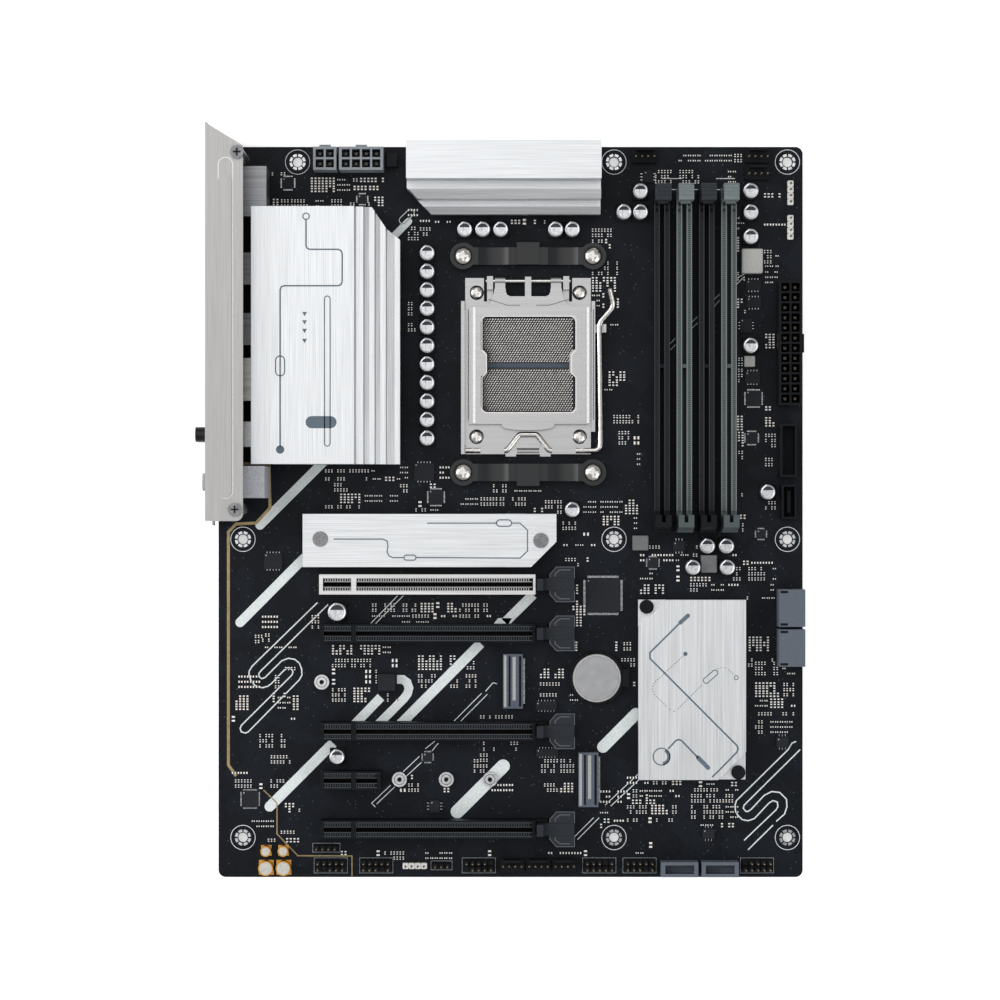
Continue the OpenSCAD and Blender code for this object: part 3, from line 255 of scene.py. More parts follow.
def strip_outline(points, width, closed=False):
    """The two sides of a strip of even width along a path, mitred at its corners."""
    last = len(points) - 1
    left, right = [], []
    for i, point in enumerate(points):
        before = points[i - 1] if i else (points[-1] if closed else None)
        after = points[i + 1] if i < last else (points[0] if closed else None)
        here = Vector(point)
        into = (here - Vector(before)).normalized() if before is not None else None
        out = (Vector(after) - here).normalized() if after is not None else None
        into, out = into or out, out or into
        across = Vector((-(into + out).y, (into + out).x)).normalized()
        square = Vector((-out.y, out.x))
        reach = width / 2 / max(0.5, across.dot(square))
        left.append(here + across * reach)
        right.append(here - across * reach)
    return left, right


def keep_mesh(build, name, material, body):
    """Turns a finished bmesh into a piece, with its faces outward."""
    bmesh.ops.recalc_face_normals(build, faces=build.faces)
    mesh = bpy.data.meshes.new(name)
    build.to_mesh(mesh)
    build.free()
    piece = bpy.data.objects.new(name, mesh)
    bpy.context.scene.collection.objects.link(piece)
    return settle(piece, name, material, body)


def print_strips(name, strips, z, thick, material, body="board"):
    """One thin solid piece from strips given as (points, width) or (points, width, closed)."""
    build = bmesh.new()
    for strip in strips:
        points, width = strip[0], strip[1]
        closed = len(strip) > 2 and strip[2]
        left, right = strip_outline(points, width, closed)
        rows = [[build.verts.new(on_board(p.x, p.y, h)) for p in side]
                for h in (z, z + thick) for side in (left, right)]
        low_left, low_right, top_left, top_right = rows
        count = len(points)
        for i in range(count if closed else count - 1):
            j = (i + 1) % count
            build.faces.new((top_right[i], top_right[j], top_left[j], top_left[i]))
            build.faces.new((low_left[i], low_left[j], low_right[j], low_right[i]))
            build.faces.new((top_left[i], top_left[j], low_left[j], low_left[i]))
            build.faces.new((low_right[i], low_right[j], top_right[j], top_right[i]))
        if not closed:
            build.faces.new((low_left[0], low_right[0], top_right[0], top_left[0]))
            build.faces.new((top_left[-1], top_right[-1], low_right[-1], low_left[-1]))
    return keep_mesh(build, name, material, body)


def print_plates(name, outlines, z, thick, material, body="board"):
    """One thin solid piece from filled outlines."""
    build = bmesh.new()
    for outline in outlines:
        low, top = [[build.verts.new(on_board(x, y, h)) for x, y in outline] for h in (z, z + thick)]
        build.faces.new(top)
        build.faces.new(low[::-1])
        for i in range(len(outline)):
            j = (i + 1) % len(outline)
            build.faces.new((low[i], low[j], top[j], top[i]))
    return keep_mesh(build, name, material, body)


def arc(x, y, r, start, end, steps=12):
    """Points on an arc, its angles in degrees."""
    return [(x + r * math.cos(math.radians(start + (end - start) * i / steps)),
             y + r * math.sin(math.radians(start + (end - start) * i / steps))) for i in range(steps + 1)]


def ring(x, y, r, width, steps=28):
    """A circle as a closed strip."""
    return (arc(x, y, r, 0, 360, steps)[:-1], width, True)


def disc(x, y, r):
    """A small filled circle's outline."""
    return arc(x, y, r, 0, 345, 23)


def pill(points, width, round_start=True, round_end=True):
    """A straight bar's outline, each end half-round or cut square."""
    (x0, y0), (x1, y1) = points
    turn = math.degrees(math.atan2(y1 - y0, x1 - x0))
    return (arc(x0, y0, width / 2, turn + 90, turn + 270, 10 if round_start else 1)
            + arc(x1, y1, width / 2, turn - 90, turn + 90, 10 if round_end else 1))


hole_points = [(x, y) for y in (16.5, 141) for x in (10.2, 165.1, 237.5)]
hole_points += [(x, 298.5) for x in (33, 165.1, 237.5)]
land_strips = []
for hole_x, hole_y in hole_points:
    for turn in range(0, 360, 45):
        land_strips.append((arc(hole_x, hole_y, 2.85, turn + 6, turn + 39, 4), 1.05))
print_strips("mounting_lands", land_strips, 0, copper_t, bright_tin)
hole_rings = [ring(x, y, 5.1, 0.25, 40) for x, y in hole_points]
print_strips("mounting_rings", hole_rings, 0, ink_t, white_ink)
print_strips("mounting_lands_under", land_strips, -board_t - copper_t, copper_t, bright_tin)

# ---------- printed decoration ----------
# Plain slanted bars, double lines and winding lines, screen-printed on the mask in pale ink.
# All of them are abstract.

pale_ink = make_material("pale_ink", grain_group, (196, 202, 202), (216, 222, 222), 1500, 0.5, 0.65, 0.1)
# Each bar is its two ends, its width, and whether its first and its second end are round
bar_lines = [
    ([(44, 173.5), (17.3, 146.9)], 3.8), ([(35.5, 133), (9, 106.3)], 3.9),
    ([(47.8, 55.9), (21.3, 29.4)], 4.2, False, True), ([(118.8, 46.3), (99.7, 27.3)], 5.6),
    ([(174.2, 68.1), (160.5, 54.3)], 4.9), ([(79.3, 273.7), (72.9, 267.2)], 3.0, True, False),
    ([(109.4, 97.5), (75.4, 63.3)], 4.1, False, False), ([(131.3, 117.9), (119.6, 106.3)], 4, False, False),
    ([(67.8, 75.1), (56.4, 63.3)], 3.8, False, False)]
bar_foot = [(114.6, 105.4), (116.7, 108.1), (122.5, 108.1), (120.9, 105.4)]
bars = [pill(*line) for line in bar_lines] + [bar_foot]
print_plates("printed_bars", bars, 0, ink_t, pale_ink)
hook = [(66.2, 63.3), (77.2, 74.3), (78.9, 76.6), (79.5, 78.9), (78.7, 81.2), (76.9, 82.5), (74.5, 82.5)]
print_strips("printed_hook", [(hook, 3.6)], 0, ink_t, pale_ink)

# Winding lines at 45 degrees, turned back on themselves by half circles
left_winding = [
    (41.3, 114.6), (14.1, 88.1), (12.8, 86), (12.7, 84.3), (13.5, 82.1), (15.1, 80), (18.2, 79),
    (20.5, 79.6), (22.1, 80.8), (27.5, 86.5), (28.3, 87.2), (29.3, 87.4), (30.6, 86.8), (31.1, 85.6),
    (30.6, 84.3), (9.5, 63.3), (9, 62.1), (9.5, 60.6), (11.2, 60.1), (12.4, 60.6), (33.7, 82.3),
    (34.8, 84.3), (34.7, 86.8), (33.7, 89.3), (31.8, 90.9), (29.1, 91.3), (26.4, 90.3), (19.4, 83.3),
    (18, 82.8), (16.8, 83.7), (16.8, 85), (17.8, 86.2), (46.6, 114.6)]
right_winding = [
    (241.1, 56.6), (239.4, 55.9), (237.8, 53.2), (216.2, 31.9), (215.6, 29.8), (215.8, 27.6),
    (216.7, 25.9), (218.6, 24), (221.1, 23.5), (223.7, 24.4), (229.7, 30.8), (231.4, 31.9), (233.3, 31.3),
    (233.5, 29.4), (232.8, 28.1), (219.4, 15.3)]
inner_winding = [
    (242.8, 53.2), (219.4, 30), (219.1, 28.7), (220.1, 27.4), (221.1, 27.4), (222.4, 28.3), (227.7, 34),
    (230.9, 35.7), (234.3, 35.3), (237.1, 32.5), (237.3, 29.4), (236.3, 26.3), (232.8, 23.2)]
windings = [left_winding, right_winding, inner_winding, [(231.5, 21.7), (221.1, 11.4)]]
thin_lines = [
    [(97.9, 64.7), (109.8, 76.7)], [(100.7, 64.7), (112.2, 76.3)],
    [(111.4, 77.5), (114.6, 81.1), (116.2, 80.7)], [(86.3, 53.5), (90.3, 56.7)],
    [(89.1, 52.7), (91.8, 55.9)], [(77.1, 44), (83.9, 50.4)], [(78.3, 42), (84.7, 47.9)],
    [(71.9, 38.4), (63.9, 30.8), (65.5, 29.2)], [(73.5, 37.6), (65.9, 30.4)], [(175.3, 43.1), (161.4, 30)],
    [(175.3, 40.4), (163.7, 29.6)], [(156.6, 24.8), (148.6, 16.8)], [(158.9, 24.8), (149.8, 15.6)],
    [(74.7, 117.4), (63.5, 105.8)], [(77.1, 117.4), (65.5, 105.8)], [(206.7, 240.9), (209.2, 243.4)],
    [(206.9, 238.1), (209.2, 240.9)], [(197.7, 231.7), (200.2, 234.2)], [(197.7, 229.2), (200.2, 231.5)],
    [(188.3, 222.5), (190.8, 225)], [(188.5, 220), (190.8, 222.3)], [(216.1, 249.9), (219.6, 251.8)],
    [(216.1, 247.3), (219.6, 250.8)], [(185.2, 291.6), (193.5, 291.6)], [(207.7, 291.6), (215.6, 291.6)],
    [(187.2, 287), (191.4, 287)], [(196.9, 287), (201, 287)], [(206.9, 287), (211, 287)]]
fine_lines = [(pill([(76.9, 274.2), (80.2, 277.4)], 2.9), 0.28, True)]
fine_lines += [(path, 0.5) for path in windings] + [(path, 0.32) for path in thin_lines]
print_strips("printed_curves", fine_lines, 0, ink_t, pale_ink)

# The gold line that parts the sound circuits from the rest of the board
audio_edge = [
    ([(9, 172.8), (21.1, 172), (21.5, 154.1), (15.7, 147.8), (7.3, 147.4), (4.1, 144), (4.1, 46.8),
      (7.3, 42.2)], 1.2),
    ([(18.8, 36.3), (24.4, 30.9), (24.4, 18), (33.1, 8.9), (55.7, 8.8), (55.7, 0.4)], 0.5)]
edge_gold = make_material("edge_gold", grain_group, (128, 112, 80), (160, 142, 104), 900, 0.3, 0.45, 0.1, 0.7)
print_strips("audio_border", audio_edge, 0, copper_t, edge_gold)

# ---------- port panel ----------
# A satin sheet-steel panel round the rear ports, and a cover on top of them that two cross-head screws hold.
# The ports behind the panel are tinned stamped shells with plastic tongues inside.

SLOW_GRAIN = 0.015
GRAIN_ALONG_X, GRAIN_ALONG_Y, GRAIN_ALONG_Z = (SLOW_GRAIN, 1, 1), (1, SLOW_GRAIN, 1), (1, 1, SLOW_GRAIN)
panel_steel = make_material(
    "panel_steel", brush_group, (156, 155, 154), (171, 170, 169), 2600, 0.34, 0.5, 0.1, 1.0, GRAIN_ALONG_Y)
port_steel = make_material(
    "port_steel", brush_group, (116, 117, 120), (150, 151, 153), 1000, 0.3, 0.46, 0.2, 1.0, GRAIN_ALONG_X)
network_steel = make_material(
    "network_steel", brush_group, (150, 148, 143), (186, 183, 176), 1000, 0.32, 0.46, 0.2, 1.0, GRAIN_ALONG_X)
radio_steel = make_material(
    "radio_steel", brush_group, (160, 161, 163), (198, 199, 201), 1000, 0.3, 0.42, 0.2, 1.0, GRAIN_ALONG_Z)
screw_plate = make_material(
    "screw_plate", grain_group, (184, 181, 177), (210, 207, 203), 500, 0.16, 0.28, 0.03, 1.0)
black_plastic = make_material("black_plastic", grain_group, (12, 13, 16), (20, 22, 25), 2200, 0.42, 0.6, 0.25)
black_metal = make_material(
    "black_metal", grain_group, (22, 23, 25), (34, 35, 38), 1200, 0.3, 0.42, 0.15, 0.6)
grey_plastic = make_material(
    "grey_plastic", grain_group, (96, 104, 105), (120, 128, 129), 2200, 0.45, 0.62, 0.25)
dark_screw = make_material(
    "dark_screw", grain_group, (104, 104, 106), (128, 128, 130), 500, 0.2, 0.32, 0.03, 1.0)
audio_rims = make_material("audio_rims", grain_group, (150, 152, 158), (182, 184, 190), 1600, 0.4, 0.55, 0.2)
for panel_name in ("io_shield", "io_cover"):
    coat_node(panel_name, panel_steel)
for port_name in ("display_port_stack", "usb_port_stacks"):
    coat_node(port_name, port_steel)
for plastic_name in ("rear_button", "port_tongues"):
    coat_node(plastic_name, black_plastic)
coat_node("lan_usb_stack", network_steel)
coat_node("wifi_module", radio_steel)
coat_node("antenna_jacks", black_metal)
coat_node("rear_button_switch", grey_plastic)
coat_node("audio_jacks", audio_rims)


def bare(name):
    """The active object as a piece with its place in its mesh."""
    bpy.ops.object.transform_apply(location=True, rotation=True, scale=True)
    piece = bpy.context.object
    piece.name = name
    piece.data.name = name
    return piece


def bevel_edges(width, segments=1):
    """Breaks every sharp edge of the active object."""
    bpy.ops.object.mode_set(mode="EDIT")
    bpy.ops.mesh.select_all(action="SELECT")
    bpy.ops.mesh.bevel(offset=width * MM, segments=segments, affect="EDGES")
    bpy.ops.object.mode_set(mode="OBJECT")


def shape_block(w, l, h, bevel=0.0, x=0.0, y=0.0, z=0.0, segments=1):
    """A block about the origin in plan, standing on z, with its edges broken; sizes in millimetres."""
    deselect()
    bpy.ops.mesh.primitive_cube_add(size=1, location=(x * MM, y * MM, (z + h / 2) * MM))
    bpy.context.object.scale = (w * MM, l * MM, h * MM)
    block = bare("shape")
    if bevel:
        bevel_edges(bevel, segments)
    return block


def shape_disc(r, h, sides=24, x=0.0, y=0.0, z=0.0, bevel=0.0, top_r=None):
    """An upright disc or cone about a point in plan, standing on z."""
    deselect()
    bpy.ops.mesh.primitive_cone_add(
        vertices=sides, radius1=r * MM, radius2=(r if top_r is None else top_r) * MM, depth=h * MM,
        location=(x * MM, y * MM, (z + h / 2) * MM))
    disc = bare("shape")
    if bevel:
        bevel_edges(bevel)
    return disc


def weld(parts, materials):
    """Joins shapes into one, each with its own material."""
    deselect()
    for part, material in zip(parts, materials):
        part.data.materials.clear()
        part.data.materials.append(material)
        part.select_set(True)
    bpy.context.view_layer.objects.active = parts[0]
    bpy.ops.object.join()
    return bpy.context.object


def lay_out(name, shape, spots, body="board"):
    """Copies a finished shape to every spot (x, y, z, turn) and joins the copies, then drops the shape."""
    build = bmesh.new()
    for x, y, z, turn in spots:
        copy = shape.data.copy()
        copy.transform(Matrix.Translation(on_board(x, y, z)) @ Matrix.Rotation(math.radians(turn), 4, "Z"))
        build.from_mesh(copy)
        bpy.data.meshes.remove(copy)
    mesh = bpy.data.meshes.new(name)
    build.to_mesh(mesh)
    build.free()
    for material in shape.data.materials:
        mesh.materials.append(material)
    piece = bpy.data.objects.new(name, mesh)
    bpy.context.scene.collection.objects.link(piece)
    bpy.data.objects.remove(shape)
    return settle(piece, name, None, body)


def solids_in(name):
    """Each separate solid of a CAD node as (x, y, z, w, l, h), counted from the board's corner."""
    shape = bmesh.new()
    shape.from_mesh(nodes[name].data)
    bmesh.ops.remove_doubles(shape, verts=shape.verts, dist=0.000002)
    found, seen = [], set()
    for start in shape.verts:
        if start in seen:
            continue
        seen.add(start)
        queue, island = [start], []
        while queue:
            vert = queue.pop()
            island.append(vert.co)
            for edge in vert.link_edges:
                other = edge.other_vert(vert)
                if other not in seen:
                    seen.add(other)
                    queue.append(other)
        low = Vector([min(c[i] for c in island) for i in range(3)])
        high = Vector([max(c[i] for c in island) for i in range(3)])
        start_at = (low - on_board(0, 0)) / MM
        size = (high - low) / MM
        found.append((*start_at, *size))
    shape.free()
    return sorted(found)


# Gold contacts on the ports' tongues, and the network socket's eight wires
usb_contact = shape_block(7, 1.1, 0.12, 0.02)
usb_contact.data.materials.append(gold_plate)
tongue_spots = []
for x, y, z, w, l, h in solids_in("port_tongues"):
    tongue_spots += [(x + 4.2, y + l * (i + 0.5) / 4, z + h, 0) for i in range(4)]
lay_out("port_contacts", usb_contact, tongue_spots)
network_pitch = 1.02
network_wire = shape_block(9, 0.5, 0.4, 0.1)
network_wire.data.materials.append(gold_plate)
wire_spots = [(9, 203.3 + i * network_pitch, 15.2, 0) for i in range(8)]
lay_out("network_contacts", network_wire, wire_spots)

# The cover's long bead gets a bright edge line of painted highlight, and its two screws get dark crosses of
# painted shade in place of their cross recesses
bead_highlight = make_material(
    "bead_highlight", grain_group, (206, 205, 204), (228, 227, 226), 900, 0.3, 0.45, 0.05, 0.6)
recess_shade = make_material("recess_shade", grain_group, (30, 30, 31), (44, 44, 45), 900, 0.5, 0.7, 0.05)
bead_h = 0.5
cover_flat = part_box("io_cover")[1].z / MM - board_t - bead_h
bead_x, bead_y, bead_r, bead_half_l = 6.3, 227.1, 2.95, 66.2
bead_line = arc(bead_x, bead_y + bead_half_l, bead_r, 0, 180)
bead_line += arc(bead_x, bead_y - bead_half_l, bead_r, 180, 360)
print_strips("cover_bead_highlight", [(bead_line, 0.28, True)], cover_flat, 0.03, bead_highlight)


def rectangle(x, y, w, l):
    """A rectangle's outline from its lowest corner."""
    return [(x, y), (x + w, y), (x + w, y + l), (x, y + l)]


# Painted shade: a flat dark cross on each cover screw's top stands for the shade in its cross recess
blade_l, blade_w = 3.0, 0.56
cover_screws = [solid for solid in solids_in("m3_screws") if solid[2] > 20]
recess_shade_crosses = []
for x, y, z, w, l, h in cover_screws:
    for blade_x, blade_y in ((blade_l, blade_w), (blade_w, blade_l)):
        recess_shade_crosses.append(rectangle(x + (w - blade_x) / 2, y + (l - blade_y) / 2, blade_x, blade_y))
screw_top = cover_screws[0][2] + cover_screws[0][5]
print_plates("cover_screw_recess_shade", recess_shade_crosses, screw_top, 0.02, recess_shade)

# ---------- tall heatsinks ----------
# Extruded aluminium blocks with long-grain brushing, screwed down over the power stages.
# Thin slate-coloured lines are printed on their faces as plain decoration.

LIGHT_GREY, PALE_GREY = (194, 196, 198), (222, 224, 226)
brushed_long = make_material(
    "brushed_long", brush_group, LIGHT_GREY, PALE_GREY, 2600, 0.3, 0.48, 0.35, 1.0, (1, 0.012, 1))
brushed_cross = make_material(
    "brushed_cross", brush_group, LIGHT_GREY, PALE_GREY, 2600, 0.3, 0.48, 0.35, 1.0, (0.012, 1, 1))
coat_node("vrm_heatsink_left", brushed_long)
coat_node("vrm_heatsink_top", brushed_cross)
coat_node("m3_screws", dark_screw)
soft_pad = make_material("soft_pad", grain_group, (128, 134, 142), (150, 156, 164), 1800, 0.7, 0.9, 0.4)
coat_node("thermal_pads", soft_pad)
slate_print = make_material("slate_print", grain_group, (84, 96, 106), (100, 113, 124), 1500, 0.4, 0.55, 0.1)
print_t = 0.05


def capsule(x, y, w, l, width, steps=8):
    """The outline of a rectangle with half-round short ends, as a closed strip about its centre."""
    r = min(w, l) / 2
    if w > l:
        points = arc(x + w / 2 - r, y, r, -90, 90, steps) + arc(x - w / 2 + r, y, r, 90, 270, steps)
    else:
        points = arc(x, y + l / 2 - r, r, 0, 180, steps) + arc(x, y - l / 2 + r, r, 180, 360, steps)
    return (points, width, True)


def top_of(name):
    """Height of a node's top above the board's top face."""
    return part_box(name)[1].z / MM - board_t


sink_line = [
    (38.2, 271.9), (38.2, 261.4), (38.6, 260.4), (39.6, 259.9), (51.3, 259.9), (52.5, 259.4), (53, 258.2),
    (53, 246.7), (52.5, 245.5), (51.3, 245), (29.4, 245), (28.1, 244.6), (27.6, 243.3), (27.6, 179)]
left_art = [
    (sink_line, 0.6), ring(38.2, 273.4, 1.3, 0.5, 20), capsule(27.6, 212.2, 3.7, 8.2, 0.45),
    capsule(46.9, 210.1, 2.3, 61.4, 0.45)]
sink_top = top_of("vrm_heatsink_left")
print_strips("left_heatsink_lines", left_art, sink_top, print_t, slate_print)
arrow_x, arrow_r = 37.6, 1
left_fills = [
    [(arrow_x - arrow_r, arrow_y + 0.9), (arrow_x, arrow_y - 0.9), (arrow_x + arrow_r, arrow_y + 0.9)]
    for arrow_y in (222.4, 226.5, 230, 233.4)]
left_fills += [pill([(40.5, 189.2), (48.2, 189.2)], 5), disc(27.6, 178, 1.7)]
print_plates("left_heatsink_fills", left_fills, sink_top, print_t, slate_print)

# ---------- power stage parts ----------
# Moulded chokes and driver packages under the heatsinks, and polymer capacitors beside them:
# drawn aluminium cans with a dark half-moon that marks the negative side.

ferrite = make_material("ferrite", grain_group, (74, 77, 82), (104, 108, 114), 3500, 0.6, 0.8, 0.3)
pale_ferrite = make_material(
    "pale_ferrite", grain_group, (140, 140, 138), (178, 178, 175), 3500, 0.55, 0.75, 0.3)
dark_ferrite = make_material("dark_ferrite", grain_group, (70, 72, 74), (128, 130, 131), 5200, 0.6, 0.8, 0.35)
chip_epoxy = make_material("chip_epoxy", grain_group, (27, 29, 33), (38, 41, 45), 2600, 0.45, 0.6, 0.2)
coat_node("vrm_chokes", ferrite)
coat_node("vrm_power_stages", chip_epoxy)
can_aluminium = make_material(
    "can_aluminium", grain_group, (172, 174, 177), (212, 213, 215), 1500, 0.28, 0.42, 0.2, 1.0)
moon_ink = make_material("moon_ink", grain_group, (44, 48, 55), (60, 64, 72), 2200, 0.5, 0.65, 0.1)


def shape_capacitor(r, h):
    """A can with a rolled top edge on a square foot, and its half-moon mark."""
    can = shape_disc(r, h - 0.9, 28, z=0.9)
    bpy.ops.object.mode_set(mode="EDIT")
    edit = bmesh.from_edit_mesh(can.data)
    bpy.ops.mesh.select_all(action="DESELECT")
    for face in edit.faces:
        face.select = face.normal.z > 0.9
    bmesh.update_edit_mesh(can.data)
    bpy.ops.mesh.bevel(offset=0.45 * MM, segments=3, affect="EDGES")
    bpy.ops.mesh.select_all(action="DESELECT")
    edit = bmesh.from_edit_mesh(can.data)
    for face in edit.faces:
        face.select = face.normal.z > 0.99 and face.calc_center_median().z > (h - 0.1) * MM
    bmesh.update_edit_mesh(can.data)
    bpy.ops.mesh.inset(thickness=0.3 * MM, depth=-0.12 * MM)
    bpy.ops.object.mode_set(mode="OBJECT")
    foot = shape_block(2 * r + 0.3, 2 * r + 0.3, 0.9, 0.15)
    moon = shape_disc(r - 0.8, 0.06, 24, z=h - 0.12)
    bpy.ops.object.mode_set(mode="EDIT")
    bpy.ops.mesh.select_all(action="SELECT")
    bpy.ops.mesh.bisect(plane_co=(0, r * 0.24 * MM, 0), plane_no=(0, 1, 0), clear_inner=True, use_fill=True)
    bpy.ops.object.mode_set(mode="OBJECT")
    return weld([can, foot, moon], [can_aluminium, black_plastic, moon_ink])


wide_can_w = 7
can_spots, big_can_spots = [], []
for x, y, z, w, l, h in solids_in("polymer_capacitors"):
    (can_spots if w < wide_can_w else big_can_spots).append((x + w / 2, y + l / 2, 0, 0))
small_cans = lay_out("capacitor_cans", shape_capacitor(3.15, 7.6), can_spots)
lay_out("large_capacitor_can", shape_capacitor(3.85, 7.6), big_can_spots)
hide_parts("polymer_capacitors")

# Sound-circuit capacitors: pale tops in gold sleeves
gold_sleeve = make_material(
    "gold_sleeve", grain_group, (176, 128, 60), (214, 164, 86), 1500, 0.25, 0.4, 0.12, 1.0)
audio_top = make_material(
    "audio_top", grain_group, (176, 174, 168), (206, 203, 196), 1500, 0.35, 0.5, 0.12, 0.7)
coat_node("audio_capacitors", gold_sleeve)
for size, radius in (("small", 2.2), ("large", 3.1)):
    top_disc = shape_disc(radius - 0.5, 0.08, 24)
    top_disc.data.materials.append(audio_top)
    top_spots = [(x + w / 2, y + l / 2, h, 0) for x, y, z, w, l, h in solids_in("audio_capacitors")
                 if abs(w / 2 - radius) < 0.2]
    lay_out(f"audio_capacitor_tops_{size}", top_disc, top_spots)


def shape_coil(w, l, h):
    """A pressed shielded coil with soft edges and a shallow dish on top."""
    coil = shape_block(w, l, h, min(w, l) * 0.07, segments=2)
    bpy.ops.object.mode_set(mode="EDIT")
    edit = bmesh.from_edit_mesh(coil.data)
    for face in edit.faces:
        face.select = face.normal.z > 0.99
    bmesh.update_edit_mesh(coil.data)
    bpy.ops.mesh.inset(thickness=min(w, l) * 0.16 * MM, depth=-0.1 * MM)
    bpy.ops.object.mode_set(mode="OBJECT")
    return coil


# The coils' finishes by their height; the two near the board's left side are black
coil_finishes = {3: pale_ferrite, 4: dark_ferrite, 5: dark_ferrite, 6: pale_ferrite}
for k, (x, y, z, w, l, h) in enumerate(solids_in("power_inductors")):
    coil = shape_coil(w, l, h)
    coil.data.materials.append(chip_epoxy if 60 < x < 80 else coil_finishes[round(h)])
    made = lay_out(f"coil_{k + 1}", coil, [(x + w / 2, y + l / 2, 0, 0)])
    if k == 0:
        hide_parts("power_inductors")

# ---------- processor socket ----------
# A resin grid with sprung gold contacts, in a stamped steel frame screwed through to a steel backplate.
# A load plate hinges on a wire above it and a bent wire lever clamps it.

socket_resin = make_material("socket_resin", grain_group, (64, 71, 82), (80, 88, 99), 2600, 0.4, 0.55, 0.2)
load_steel = make_material(
    "load_steel", brush_group, (160, 159, 160), (174, 173, 174), 1300, 0.2, 0.34, 0.05, 1.0, GRAIN_ALONG_X)
bright_wire = make_material(
    "bright_wire", grain_group, (196, 192, 188), (232, 229, 225), 900, 0.14, 0.28, 0.1, 1.0)
contact_field = make_material(
    "contact_field", grain_group, (34, 31, 31), (48, 45, 44), 3000, 0.5, 0.65, 0.3, 0.2)
coat_node("cpu_socket_body", socket_resin)
coat_node("cpu_contacts", contact_field)
for steel_name in ("socket_frame", "load_plate"):
    coat_node(steel_name, load_steel)
for wire_name in ("load_lever", "hinge_wire"):
    coat_node(wire_name, bright_wire)


def shape_screw(r, t, shank_r, shank_l):
    """A domed head with a cross recess, and its shank hanging below."""
    deselect()
    bpy.ops.mesh.primitive_uv_sphere_add(segments=28, ring_count=14, radius=1)
    bpy.context.object.scale = (r * MM, r * MM, t * MM)
    head = bare("shape")
    bpy.ops.object.mode_set(mode="EDIT")
    bpy.ops.mesh.select_all(action="SELECT")
    bpy.ops.mesh.bisect(plane_co=(0, 0, 0), plane_no=(0, 0, 1), clear_inner=True, use_fill=True)
    bpy.ops.object.mode_set(mode="OBJECT")
    for long_x, long_y in ((1.2, 0.26), (0.26, 1.2)):
        blade = shape_block(r * long_x, r * long_y, t, z=t * 0.45)
        deselect()
        bpy.context.view_layer.objects.active = head
        head.select_set(True)
        cut = head.modifiers.new("cross", "BOOLEAN")
        cut.object = blade
        cut.operation = "DIFFERENCE"
        bpy.ops.object.modifier_apply(modifier="cross")
        bpy.data.objects.remove(blade)
    head.data.shade_smooth()
    deselect()
    head.select_set(True)
    bpy.context.view_layer.objects.active = head
    bpy.ops.object.shade_smooth_by_angle(angle=math.radians(35))
    shank = shape_disc(shank_r, shank_l, 16, z=-shank_l)
    return weld([head, shank], [screw_plate, screw_plate])


dome_h = 2.0
for screw_name, shank_r in (("socket_screws", 1.5), ("cooler_screws", 1.6)):
    screw_solids = solids_in(screw_name)
    head_r, shank_l = screw_solids[0][3] / 2, screw_solids[0][5] - dome_h
    screw_spots = [(x + w / 2, y + l / 2, z + h - dome_h, 0) for x, y, z, w, l, h in screw_solids]
    domed_screw = shape_screw(head_r, dome_h, shank_r, shank_l)
    screws = lay_out(screw_name + "_domed", domed_screw, screw_spots)
    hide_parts(screw_name)

# Painted highlights along the edges of the load plate's long beads and window, and painted shade lines along
# its folds
plate_highlight = make_material(
    "plate_highlight", grain_group, (190, 189, 187), (214, 212, 210), 900, 0.16, 0.26, 0.03, 1.0)
plate_shade = make_material(
    "plate_shade", grain_group, (84, 85, 88), (100, 101, 104), 900, 0.3, 0.45, 0.03, 1.0)
plate_top = 5.6
bead_top = plate_top + 0.5
bead_highlight_strips = [([(x, 237.6), (x, 189.3)], 1.1) for x in (106.8, 154.1)]
print_strips("plate_bead_highlights", bead_highlight_strips, bead_top, 0.05, plate_highlight, "load_plate")
window_outline = [
    (111.1, 233.8), (148, 233.8), (149.1, 232.7), (149.1, 219.8), (147.3, 217.7), (147.3, 210.4),
    (149.1, 208.3), (149.1, 195), (147.8, 193.7), (111.5, 193.7), (110, 195), (110, 208.3), (111.9, 210.4),
    (111.9, 217.7), (110, 219.8), (110, 232.7)]
window_strip = (window_outline, 0.32, True)
print_strips("window_highlight", [window_strip], plate_top, 0.04, plate_highlight, "load_plate")
# Painted shade: thin dark lines along the plate's side and tongue folds
side_folds = [([(x, 236.7), (x, 190.8)], 0.3) for x in (104.4, 156.4)]
tongue_folds = [
    ([(112.7, 240.9), (120.4, 238.4), (125.9, 238.4)], 0.3),
    ([(146.3, 240.9), (138, 238.4), (132.6, 238.4)], 0.3)]
folds = side_folds + tongue_folds
print_strips("plate_fold_shade", folds, plate_top, 0.03, plate_shade, "load_plate")
coat_node("socket_backplate", black_metal)
bracket_plastic = make_material(
    "bracket_plastic", grain_group, (12, 13, 16), (18, 20, 23), 2200, 0.26, 0.36, 0.08)
bracket_plastic.node_tree.nodes["Principled BSDF"].inputs["Specular IOR Level"].default_value = 0.4
coat_node("cooler_brackets", bracket_plastic)

